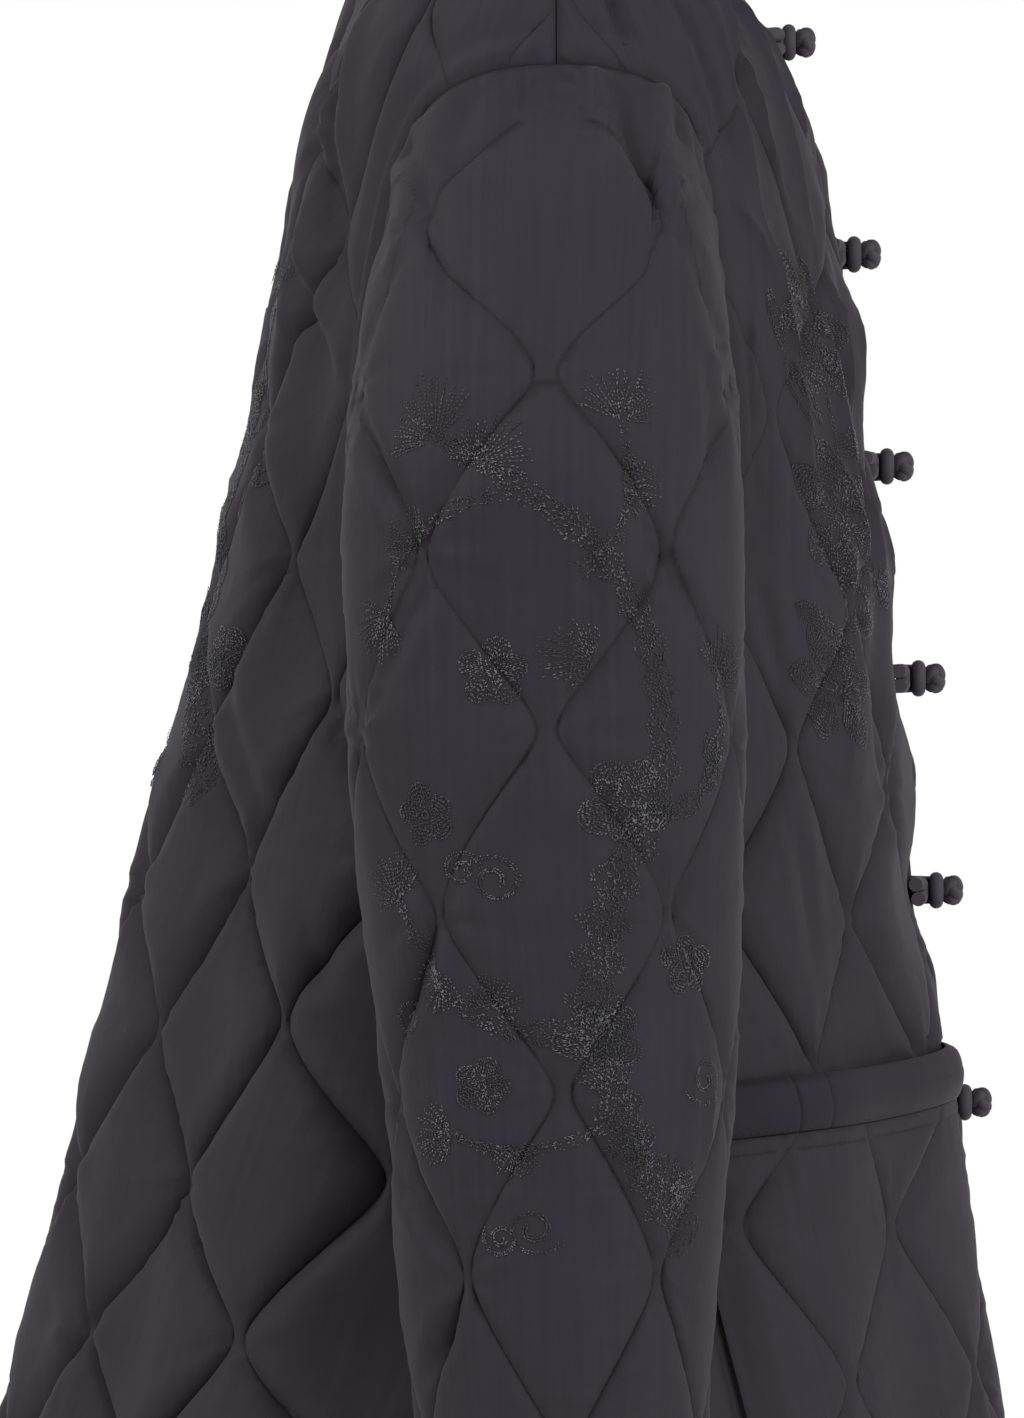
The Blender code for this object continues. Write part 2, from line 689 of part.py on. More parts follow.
def half_turns(turn):
    """Angles brought between -pi and pi."""
    return (turn + math.pi) % (2 * math.pi) - math.pi


def armhole_loop(turn):
    """Where the right armhole's edge runs on the body. turn is 0 at the shoulder, pi at the underarm."""
    turn = half_turns(turn)
    around = np.zeros_like(turn)
    down = np.zeros_like(turn)
    for half, chosen in (("front", turn >= 0), ("back", turn < 0)):
        share = np.round(np.abs(turn[chosen]) / math.pi, 6)
        places = armhole_places(half, armhole_angle(half, share))
        around[chosen] = turn_at(half, places[:, 0], places[:, 1])
        down[chosen] = down_at(places[:, 1])
    return around, down


def sleeve_root(turn):
    """Points where a sleeve leaves the body, the way it leaves and the way through its wall there."""
    near = 1e-2
    around, down = armhole_loop(turn)
    outward = body_outward(around, down)
    tangent = body_ring(*armhole_loop(turn + near)) - body_ring(*armhole_loop(turn - near))
    into_hole = unit(np.cross(unit(tangent), outward))
    lean = SLEEVE_ANGLE_TOP + (SLEEVE_ANGLE_FOOT - SLEEVE_ANGLE_TOP) * (0.5 - 0.5 * np.cos(turn)) ** 2
    leaving = into_hole * np.cos(lean)[:, None] + outward * np.sin(lean)[:, None]
    across = outward * np.cos(lean)[:, None] - into_hole * np.sin(lean)[:, None]
    start = body_ring(around, down) + leaving * (WALL * np.sin(lean) + SEAM_GAP)[:, None]
    return start, leaving, across


def sleeve_section(section, turn):
    """Points of one sleeve section on the wearer's right."""
    inner = np.array([-section.inner_x, section.centre_y, section.inner_z])
    outer = np.array([-section.outer_x, section.centre_y, section.outer_z])
    ahead = np.cos(turn)
    side = np.sin(turn)
    middle = (inner + outer) / 2
    reach = (outer - inner) / 2
    ahead = np.sign(ahead) * np.abs(ahead) ** ROUNDNESS
    side = np.sign(side) * np.abs(side) ** ROUNDNESS
    return middle + ahead[:, None] * reach - side[:, None] * np.array([0.0, section.half_y, 0.0])


def sleeve_form(turn, along):
    """Points of the right sleeve's inner face. along is 0 at the armhole and 1 at the cuff."""
    start, leaving, _ = sleeve_root(turn)
    stations = [start] + [sleeve_section(section, turn) for section in SLEEVE_SECTIONS]
    knots = [0.0] + [section.along for section in SLEEVE_SECTIONS]
    slopes = []
    for number, station in enumerate(stations):
        if number == 0:
            run = np.linalg.norm(stations[1] - stations[0], axis=1, keepdims=True)
            slopes.append(leaving * SLEEVE_SPRING * run / knots[1])
        elif number == len(stations) - 1:
            slopes.append((station - stations[number - 1]) / (knots[number] - knots[number - 1]))
        else:
            slopes.append((stations[number + 1] - station) / (knots[number + 1] - knots[number]))
    points = np.zeros_like(start)
    for number in range(len(stations) - 1):
        width = knots[number + 1] - knots[number]
        part = (along - knots[number]) / width
        last = number == len(stations) - 2
        chosen = (part >= 0) & ((part < 1) | last) if number else (part < 1)
        step = part[chosen, None]
        begin, finish = stations[number][chosen], stations[number + 1][chosen]
        leave, arrive = slopes[number][chosen] * width, slopes[number + 1][chosen] * width
        points[chosen] = (
            begin * (2 * step**3 - 3 * step**2 + 1)
            + leave * (step**3 - 2 * step**2 + step)
            + finish * (3 * step**2 - 2 * step**3)
            + arrive * (step**3 - step**2)
        )
    return points


def sleeve_outward(turn, along):
    near = 2e-3
    around = sleeve_form(turn + near, along) - sleeve_form(turn - near, along)
    fall = sleeve_form(turn, along + near) - sleeve_form(turn, np.maximum(along - near, 0.0))
    return unit(np.cross(fall, around))


def on_sleeve(places, height):
    """Points of the right sleeve at flat places, moved out by height. The first section lies on the seam."""
    turn = places[:, 0] * 2 * math.pi / SLEEVE_GIRTH
    along = 1.0 - places[:, 1] / SLEEVE_LENGTH
    outward = sleeve_outward(turn, along)
    _, _, across = sleeve_root(turn)
    at_seam = (1.0 - ease(along / SLEEVE_SEAM_SHARE))[:, None]
    outward = unit(outward * (1.0 - at_seam) + across * at_seam)
    return sleeve_form(turn, along) + outward * height[:, None]


SLEEVE_COLUMNS = np.arange(-SLEEVE_LINES // 2, SLEEVE_LINES // 2 + 1)
SLEEVE_RISES = np.linspace(0.0, SLEEVE_LENGTH, SLEEVE_SAMPLES)


def true_rises():
    """True length up from the cuff, for each quilting column and each flat rise."""
    table = []
    for column in SLEEVE_COLUMNS:
        turn = np.full_like(SLEEVE_RISES, column * 2 * math.pi / SLEEVE_LINES)
        table.append(lengths_along(sleeve_form(turn, 1.0 - SLEEVE_RISES / SLEEVE_LENGTH)))
    return np.array(table)


SLEEVE_TRUE = true_rises()


def sleeve_true_rise(column, rise):
    """True length up from the cuff at a column position and a flat rise."""
    place = np.clip(column + SLEEVE_LINES // 2, 0.0, SLEEVE_LINES - 1e-6)
    left = place.astype(int)
    part = place - left
    row = np.clip(rise / SLEEVE_LENGTH, 0.0, 1.0) * (len(SLEEVE_RISES) - 1)
    low = np.minimum(row.astype(int), len(SLEEVE_RISES) - 2)
    step = row - low
    near = SLEEVE_TRUE[left, low] * (1 - step) + SLEEVE_TRUE[left, low + 1] * step
    far = SLEEVE_TRUE[left + 1, low] * (1 - step) + SLEEVE_TRUE[left + 1, low + 1] * step
    return near * (1 - part) + far * part


def sleeve_lines(outline):
    """Quilting lines of the sleeve and places between them, in flat places."""
    pitch = SLEEVE_GIRTH / SLEEVE_LINES
    rises = LINE_STEP * np.arange(1, int(SLEEVE_LENGTH / LINE_STEP) + 1)
    positions = []
    for number in range(-SLEEVE_LINES // 2, SLEEVE_LINES // 2):
        true = sleeve_true_rise(np.full_like(rises, number + 0.5), rises)
        positions.append(quilt_line(number, true, SLEEVE_QUILT) * pitch)
    lines = []
    fills = []
    for number, here in enumerate(positions):
        lines += runs_inside(outline, np.stack([here, rises], axis=1))
        after = positions[number + 1] if number + 1 < len(positions) else np.full_like(here, SLEEVE_GIRTH / 2)
        for rise, left, right in zip(rises, here, after):
            count = 1 if right - left < WIDE_CELL else 2
            for part in range(1, count + 1):
                fills.append((left + (right - left) * part / (count + 1), rise))
    fills = np.array(fills)
    return lines, fills[inside(outline, fills, LINE_MARGIN)]


def sleeve_height(outline):
    def height_at(places):
        pitch = SLEEVE_GIRTH / SLEEVE_LINES
        column = places[:, 0] / pitch
        true = sleeve_true_rise(column, places[:, 1])
        distance = from_lines(column, true, np.full_like(column, pitch), SLEEVE_QUILT)
        return WALL + loft(np.minimum(distance, from_outline(outline, places) - SEAM_FLAT))
    return height_at


def add_sleeves():
    half = SLEEVE_GIRTH / 2
    cuff = level_edge(-half, half, 0.0)
    seam_rise = steps_between(0.0, SLEEVE_LENGTH, EDGE_STEP * 1.5)
    right_seam = np.stack([np.full_like(seam_rise, half), seam_rise], axis=1)
    turns = math.pi * np.concatenate([ARMHOLE_SHARES[::-1], -ARMHOLE_SHARES[1:]])
    root = np.stack([turns / (2 * math.pi) * SLEEVE_GIRTH, np.full_like(turns, SLEEVE_LENGTH)], axis=1)
    left_seam = np.stack([np.full_like(seam_rise, -half), seam_rise], axis=1)[:0:-1]
    outline = np.concatenate([cuff, right_seam, root, left_seam])
    first_right = len(cuff)
    first_left = first_right + len(right_seam) + len(root) - 1
    sewn_shut = list(range(first_right, first_right + len(right_seam)))
    sewn_shut += list(range(first_left, len(outline)))
    lines, fills = sleeve_lines(outline)
    height_at = sleeve_height(outline)
    mirror = np.array([-1.0, 1.0, 1.0])
    plain = plain_places(outline)
    add_cloth("sleeve_right", outline, lines, fills, plain, on_sleeve, height_at, sewn_shut)
    add_cloth("sleeve_left", outline, lines, fills, plain,
              lambda places, height: on_sleeve(places, height) * mirror, height_at, sewn_shut)


def add_front_bands():
    rises = np.linspace(0.0, BODY_RISE, BAND_STATIONS)
    inner = SEAM_GAP / 2
    outer = BAND_WIDTH - SEAM_GAP / 2
    middle = (inner + outer) / 2
    profile = (
        (inner, 0.0),
        (outer, 0.0),
        (outer, WALL),
        (middle, WALL + BAND_ROLL),
        (inner, WALL),
    )
    for name, side in (("front_band_right", 1.0), ("front_band_left", -1.0)):
        sections = []
        for rise in rises:
            places = np.array([(side * across, rise) for across, _ in profile])
            sections.append(on_body("front", places, np.array([height for _, height in profile])))
        sweep(name, TRIM, sections)


def pocket_lift(places):
    """Height of the pocket's inner face: flat on the front at its sewn sides, gaping at the mouth."""
    across, rise = np.abs(places[:, 0]), places[:, 1]
    part = np.clip((across - POCKET_FRONT) / POCKET_WIDTH, 0.0, 1.0)
    open_part = ease(1.0 - (pocket_head(across) - rise) / POCKET_GAPE_RUN)
    return WALL + TOUCH_GAP + POCKET_GAPE * np.sin(math.pi * part) * open_part


def add_pockets():
    lines, fills = quilt_places(POCKET_PATCH, front_column, POCKET_LINES, pitch_on("front"), FRONT_QUILT)
    add_pair(("pocket_right", "pocket_left"), POCKET_PATCH, lines, fills,
             lambda places, height: on_body("front", places, height + pocket_lift(places)), front_pocket_height)


def front_pocket_height(outline):
    def height_at(places):
        across, rise = np.abs(places[:, 0]), places[:, 1]
        pitch = QUILT_PITCH * spread_at("front", rise)
        distance = from_lines(across / pitch - FRONT_QUILT.shift / QUILT_PITCH, rise, pitch, FRONT_QUILT)
        return WALL + loft(np.minimum(distance, from_outline(outline, places) - SEAM_FLAT))
    return height_at


def add_pocket_bands():
    low = SEAM_GAP / 2
    profile = (
        (POCKET_BAND - low, 0.0),
        (low, 0.0),
        (low, WALL),
        (POCKET_BAND / 2, WALL + POCKET_BAND_ROLL),
        (POCKET_BAND - low, WALL),
    )
    for name, side in (("pocket_band_right", 1.0), ("pocket_band_left", -1.0)):
        sections = []
        for across in POCKET_ACROSS:
            places = np.array([(side * across, pocket_head(across) - below) for below, _ in profile])
            height = np.array([height for _, height in profile])
            sections.append(on_body("front", places, height + pocket_lift(places)))
        sweep(name, TRIM, sections)


def add_collar():
    """A stand collar swept round the neckline, open at the front."""
    across = {half: neck_across(half) for half in ("front", "back")}
    level = np.full(NECK_STEPS + 1, BODY_RISE)
    start = turn_at("front", np.array([TOUCH_GAP]), level[:1])
    front = turn_at("front", across["front"], level)
    back = turn_at("back", across["back"][::-1], level)[1:]
    half_way = np.concatenate([start, front, back])
    turns = np.concatenate([half_way, 2 * math.pi - half_way[-2::-1]])
    near = 1e-3
    sections = []
    for turn in turns:
        angle = np.array([turn])
        point = body_ring(angle, np.zeros(1))[0]
        outward = body_outward(angle, np.array([near]))[0]
        upward = unit(body_ring(angle, np.zeros(1))[0] - body_ring(angle, np.array([near]))[0])
        level = unit(outward * np.array([1.0, 1.0, 0.0]))
        share = np.array([min(turn, 2 * math.pi - turn) / math.pi])
        height = through(COLLAR_STANDS, "height", share)[0]
        lean = through(COLLAR_STANDS, "lean", share)[0]
        stand = np.array([0.0, 0.0, 1.0]) * math.cos(lean) + level * math.sin(lean)
        across = level * math.cos(lean) - np.array([0.0, 0.0, 1.0]) * math.sin(lean)
        base = point + upward * SEAM_GAP
        notch = COLLAR_NOTCH * max(0.0, 1.0 - share[0] / COLLAR_NOTCH_SHARE)
        aside = np.array([-math.copysign(notch, math.pi - turn), 0.0, 0.0])
        top = base + stand * height + aside
        middle = base + stand * height / 2 + aside / 2
        sections.append(np.array([
            base,
            base + outward * WALL,
            middle + across * COLLAR_WALL,
            top + across * (COLLAR_WALL - COLLAR_ROUND / 2) - stand * COLLAR_ROUND,
            top + across * COLLAR_WALL / 2,
            top - stand * COLLAR_ROUND,
            middle,
        ]))
    sweep("collar", TRIM, sections)


def rest_height(panel_height, across, rise):
    """Height of a cord's middle where it lies on the front band or on the panel beside it."""
    ahead = abs(across) + CORD_RADIUS * 2
    panel = panel_height(np.array([(ahead, rise)]))[0] if ahead > BAND_WIDTH else 0.0
    part = min(1.0, abs(across) / BAND_WIDTH)
    band = WALL + BAND_ROLL * (1.0 - abs(2.0 * part - 1.0))
    return max(panel, band) + CORD_RADIUS + TOUCH_GAP


def lying_cord(panel_height, reaches, level):
    """Points of a cord that lies level across the front."""
    rises = rise_at_level(reaches, np.full_like(reaches, level))
    heights = np.array([rest_height(panel_height, across, rise) for across, rise in zip(reaches, rises)])
    return on_body("front", np.stack([reaches, rises], axis=1), heights)


def add_frogs():
    """Six closures: a bar lying on the right front, a loop on the left front and a ball knot through the loop."""
    beside_band = np.array([(BAND_WIDTH, -1.0), (1.0, -1.0), (1.0, 1.0), (BAND_WIDTH, 1.0)])
    panel_height = front_height(beside_band)
    beside = CORD_RADIUS + TOUCH_GAP / 2
    flat = WALL + BAND_ROLL + CORD_RADIUS + TOUCH_GAP
    for number in range(FROG_COUNT):
        level = FROG_TOP_Z - number * FROG_SPACING
        rise = BODY_RISE - np.interp(-level, -FRONT_LEVELS, FALLS)
        centre = on_body("front", np.array([(0.0, rise)]), np.zeros(1))[0]
        upward = body_outward(np.zeros(1), down_at(np.array([rise])))[0, 2]
        upright = math.sqrt(1.0 - upward**2)
        slope = upward / upright
        lying = level - upward * flat
        ring_height = flat / upright + 2 * (CORD_RADIUS + TOUCH_GAP) + slope * (LOOP_RADIUS + CORD_RADIUS)

        reaches = np.linspace(-BAR_LENGTH, -LOOP_LEAD, CORD_STEPS)
        turns = np.radians(np.linspace(LOOP_OPENING, 360 - LOOP_OPENING, LOOP_STEPS))
        ring = np.stack([
            LOOP_RADIUS * np.cos(turns),
            np.full_like(turns, -ring_height),
            LOOP_RADIUS * np.sin(turns),
        ], axis=1)
        path = np.concatenate([
            lying_cord(panel_height, reaches, lying + beside),
            centre + ring,
            lying_cord(panel_height, reaches[::-1], lying - beside),
        ])
        sweep(f"frog_loop_{number + 1}", CORD, tube(path, CORD_RADIUS, CORD_SIDES))

        reaches = np.linspace(BAR_LENGTH, BAR_END, CORD_STEPS)
        turns = np.radians(BAR_BEND)
        ends = BAR_END - beside * np.cos(turns)
        bend = np.stack([ends, rise_at_level(ends, lying + beside * np.sin(turns))], axis=1)
        path = np.concatenate([
            lying_cord(panel_height, reaches, lying + beside),
            on_body("front", bend, np.full(len(turns), flat)),
            lying_cord(panel_height, reaches[::-1], lying - beside),
        ])
        sweep(f"frog_bar_{number + 1}", CORD, tube(path, CORD_RADIUS, CORD_SIDES))

        foot = (flat + CORD_RADIUS + TOUCH_GAP) / upright + slope * KNOT_NECK
        add_knot(f"frog_knot_{number + 1}", centre, foot, ring_height)


def add_knot(name, centre, foot, ring_height):
    """A ball knot standing level on its neck, with three soft lobes for the crossing cords."""
    middle = ring_height + CORD_RADIUS + TOUCH_GAP + KNOT_HEIGHT * KNOT_SEAT
    profile = [(foot, KNOT_NECK), (ring_height, KNOT_NECK)]
    for tilt in np.radians(KNOT_TILTS):
        profile.append((middle + KNOT_HEIGHT * math.sin(tilt), KNOT_RADIUS * math.cos(tilt)))
    angles = np.arange(KNOT_SIDES) * 2 * math.pi / KNOT_SIDES
    sections = []
    for row, (height, radius) in enumerate(profile):
        reach = radius * (1.0 + KNOT_LOBES * np.cos(3 * angles + row) * (row > 2))
        ring = np.stack([reach * np.cos(angles), np.full_like(angles, -height), reach * np.sin(angles)], axis=1)
        sections.append(centre + ring)
    sweep(name, CORD, sections)


def main():
    clear_scene()
    add_back()
    add_fronts()
    add_sleeves()
    add_front_bands()
    add_pockets()
    add_pocket_bands()
    add_collar()
    add_frogs()


main()
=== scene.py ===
"""Looks of the quilted down jacket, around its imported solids.

Metres, +Z up, front towards -Y, wearer's right towards -X, origin in the middle of the neck. Every cloth
piece is a closed shell on the form of its solid. A place on a panel is given by two lengths: across, from
the centre front or centre back, and rise, up from the hem. A place on a sleeve is given by a length round it
and one up from the cuff.
"""

import math
from collections import namedtuple

import bpy
import numpy as np
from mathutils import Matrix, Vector
from mathutils.geometry import delaunay_2d_cdt


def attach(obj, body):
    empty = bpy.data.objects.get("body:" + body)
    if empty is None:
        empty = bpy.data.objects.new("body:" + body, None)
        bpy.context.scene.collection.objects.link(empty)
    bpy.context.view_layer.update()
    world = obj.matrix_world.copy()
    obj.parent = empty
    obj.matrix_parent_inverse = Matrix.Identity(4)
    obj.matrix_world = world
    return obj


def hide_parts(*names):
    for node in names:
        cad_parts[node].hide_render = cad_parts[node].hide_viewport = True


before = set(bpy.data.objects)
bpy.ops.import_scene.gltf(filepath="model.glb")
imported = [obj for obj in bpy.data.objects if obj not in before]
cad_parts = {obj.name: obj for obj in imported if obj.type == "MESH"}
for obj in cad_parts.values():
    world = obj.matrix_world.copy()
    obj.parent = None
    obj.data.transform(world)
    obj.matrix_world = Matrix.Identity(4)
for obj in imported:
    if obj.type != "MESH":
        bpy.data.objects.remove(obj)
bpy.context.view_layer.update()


def rows_of(kind, rows):
    """Rows of a table, with their columns named."""
    return tuple(kind(*row) for row in rows)


# Cloth
WALL = 0.003
SEAM_FLAT = 0.004
SEAM_GAP = 0.0003
TOUCH_GAP = 0.0007
FOLD_ENDS = 5
EDGE_TURN = 0.0022

# Filling: height of the sewn lines, rise of the cells above them, run of that rise, depth of the sewn groove
Filling = namedtuple("Filling", "base loft run groove")
BACK_FILLING = Filling(base=0.0036, loft=0.0082, run=0.016, groove=0.0008)
FRONT_FILLING = Filling(base=0.0044, loft=0.0048, run=0.016, groove=0.0008)
POCKET_FILLING = Filling(base=0.0042, loft=0.0024, run=0.016, groove=0.0008)
SLEEVE_FILLING = Filling(base=0.0066, loft=0.0024, run=0.016, groove=0.0007)
FILL_FULLNESS = 0.68
BASE_RUN = 0.018
GROOVE_WIDTH = 0.0012
FLANK = 0.0014

# Quilting: neighbouring lines swing towards and away from each other
Quilt = namedtuple("Quilt", "period swing start shift")
QUILT_PITCH = 0.0435
QUILT_POINT = 0.93
FRONT_QUILT = Quilt(period=0.1280, swing=0.430, start=0.253, shift=0.0102)
BACK_QUILT = Quilt(period=0.1280, swing=0.450, start=0.143, shift=0.0261)
SLEEVE_QUILT = Quilt(period=0.1427, swing=0.450, start=0.090, shift=0.0)
QUILTS = {"front": FRONT_QUILT, "back": BACK_QUILT}
SLEEVE_LINES = 10
FRONT_LINES = (-1, 9)
BACK_LINES = (-10, 9)
POCKET_LINES = (0, 6)

# Fine relief of the filled cloth
LUMP_SIZE = 0.085
LUMP_SHARE = 0.14
PUCKER = 0.00030
PUCKER_REACH = 0.0045
PUCKER_WAVES = (0.0079, 0.0127, 0.0191)
NECK_PINCH = 0.0008
NECK_WIDTH = 0.011
NECK_HEIGHT = 0.017
NECK_CREASE = 0.0005
NECK_REACH = 0.010
GATHER = 0.0005
GATHER_REACH = 0.010
GATHER_WAVES = (0.0135, 0.0221)
SEWN_RUN = 0.004
CREASE_RUN = 0.006
DEEPEST = -0.0012
LINE_APART = 0.31
TENSION_SIZE = 0.09
UNEVEN_SIZE = 0.05
ARMHOLE_FILL = 0.3
ARMHOLE_FILL_RUN = 0.07
TOPSTITCH_SET = 0.0115
SEAM_LIFT = 0.0010
CAP_FLAT = 0.0034
CAP_RUN = 0.09
CAP_WIDTH = 0.035
CAP_CLEAR = 0.04
CAP_FADE = 0.05
ELBOW_FULL = 0.9
ELBOW_RISE = 0.34
ELBOW_RUN = 0.2
ELBOW_FROM = 0.02
ELBOW_TO = 0.15

# Mesh steps, and how finely the forms are measured
CLOTH_STEP = 0.0034
INNER_STEP = 0.012
LINE_STEP = 0.0031
CREST_STEP = 0.003
EDGE_STEP = 0.004
LINE_MARGIN = 0.003
ARMHOLE_STEPS = 84
NECK_STEPS = 36
BODY_SAMPLES = 161
QUARTER_SAMPLES = 61
ARMHOLE_SAMPLES = 241
SLEEVE_SAMPLES = 81
BATCH = 6000
SHARP_ANGLE = math.radians(62)

# Front edge and closures
BAND_WIDTH = 0.020
BAND_ROLL = 0.003
BAND_STEP = 0.004
BAND_CORNERS = 15
BAND_STITCHED = 12
BAND_RIPPLE = 0.0005
BAND_WAVE = 0.031
EDGE_BOW = 0.004
EDGE_BOW_RUN = 0.05
LEFT_BOW = 1.8
HELD_HEIGHT = 0.019
HELD_WIDTH = 0.11
HELD_SHARE = 0.9
FROG_TOP_Z = -0.0759
FROG_SPACING = 0.0912
FROG_COUNT = 6
CORD_RADIUS = 0.0028
BAR_LENGTH = 0.032
BAR_END = 0.0082
BAR_LIFT_RUN = 0.016
BAR_BEND = (60, 30, 0, -30, -60)
LOOP_RADIUS = 0.0049
LOOP_LEAD = 0.0138
LOOP_OPENING = 38
KNOT_RADIUS = 0.0069
KNOT_HEIGHT = 0.0045
CORD_FULL = 0.00305
CORD_STEP = 0.0012
CORD_SIDES = 14
KNOT_NECK = 0.0016
KNOT_SEAT = 0.76
KNOT_CORD = 0.37
KNOT_CORE = 0.62
KNOT_SIDES = 10
CORE_SIDES = 16

# Pockets
POCKET_FRONT = 0.058
POCKET_WIDTH = 0.212
POCKET_FOOT = 0.022
POCKET_HEAD = 0.203
POCKET_DROP = 0.024
POCKET_BAND = 0.0225
POCKET_BAND_ROLL = 0.003
POCKET_GAPE = 0.016
POCKET_GAPE_RUN = 0.075
POCKET_STEPS = 60
POCKET_ROW = 0.0065
POCKET_JOINS = (0.2085, 0.2235)
POCKET_JOIN = 0.0008
POCKET_JOIN_WIDTH = 0.0007
POCKET_JOIN_STEPS = (-0.0012, -0.0006, 0.0, 0.0006, 0.0012)
POCKET_BAND_CORNERS = 17
POCKET_BAND_STITCHED = 15
POCKET_BAND_STEPS = 110
POCKET_BAND_EDGE = 0.0016
POCKET_RIPPLE = 0.0004
POCKET_WAVE = 0.071
POCKET_CLEAR = 0.0015

# Armholes, in lengths from the side line
ARMHOLE_FRONT = 0.0805
ARMHOLE_BACK = 0.0915
ARMHOLE_SQUARE = 0.25
SLEEVE_ANGLE_TOP = math.radians(30)
SLEEVE_ANGLE_FOOT = math.radians(64)
SLEEVE_SPRING = 0.8
SLEEVE_SEAM_SHARE = 0.05

# Collar
COLLAR_WALL = 0.005
COLLAR_NOTCH = 0.007
COLLAR_NOTCH_SHARE = 0.12
COLLAR_ROWS = 9
COLLAR_TOP = 0.86

# Body sections from the neckline to the hem, on the inner face
Ring = namedtuple("Ring", "side_x side_z front_y front_z back_y back_z")
BODY_RINGS = rows_of(Ring, (
    (0.072, 0.0, -0.071, -0.062, 0.058, -0.014),
    (0.128, -0.024, -0.087, -0.092, 0.081, -0.075),
    (0.18, -0.052, -0.105, -0.138, 0.101, -0.138),
    (0.21, -0.101, -0.115, -0.19, 0.109, -0.19),
    (0.222, -0.192, -0.127, -0.268, 0.126, -0.268),
    (0.206, -0.3, -0.139, -0.345, 0.144, -0.345),
    (0.212, -0.42, -0.147, -0.44, 0.166, -0.44),
    (0.226, -0.55, -0.163, -0.558, 0.195, -0.558),
    (0.244, -0.7, -0.187, -0.7, 0.231, -0.7),
))
TIP_RING = 3
UNDERARM_RING = 5
ROUNDNESS = 0.84
MIDDLE_DOWN = 0.6

# Sleeve sections below the cap, on the inner face of the wearer's left sleeve
Section = namedtuple("Section", "along inner_x inner_z outer_x outer_z centre_y half_y")
SLEEVE_SECTIONS = rows_of(Section, (
    (0.36, 0.236, -0.338, 0.33, -0.3, 0.005, 0.0715),
    (0.54, 0.243, -0.43, 0.34, -0.418, 0.003, 0.0685),
    (0.72, 0.254, -0.53, 0.345, -0.522, -0.002, 0.0595),
    (0.88, 0.264, -0.615, 0.348, -0.609, -0.002, 0.0515),
    (1.0, 0.271, -0.678, 0.35, -0.675, -0.004, 0.046),
))
SLEEVE_GIRTH = 0.44
SLEEVE_LENGTH = 0.62

# Largest folds, as in the solids: a soft ridge (height above 0) or trough between two places on a panel
Fold = namedtuple("Fold", "high_across high_rise low_across low_rise half_width height")
FRONT_FOLDS = rows_of(Fold, (
    (0.075, 0.66, 0.1, 0.3, 0.028, 0.005),
    (0.115, 0.62, 0.15, 0.26, 0.028, 0.005),
    (0.15, 0.33, 0.19, -0.05, 0.05, -0.007),
    (0.08, 0.26, 0.105, -0.05, 0.05, 0.006),
))
BACK_FOLDS = rows_of(Fold, (
    (0.15, 0.62, 0.185, 0.28, 0.034, -0.006),
    (0.06, 0.4, 0.075, -0.05, 0.055, 0.006),
    (0.15, 0.36, 0.19, -0.05, 0.055, -0.009),
    (0.235, 0.33, 0.28, -0.05, 0.05, 0.007),
))

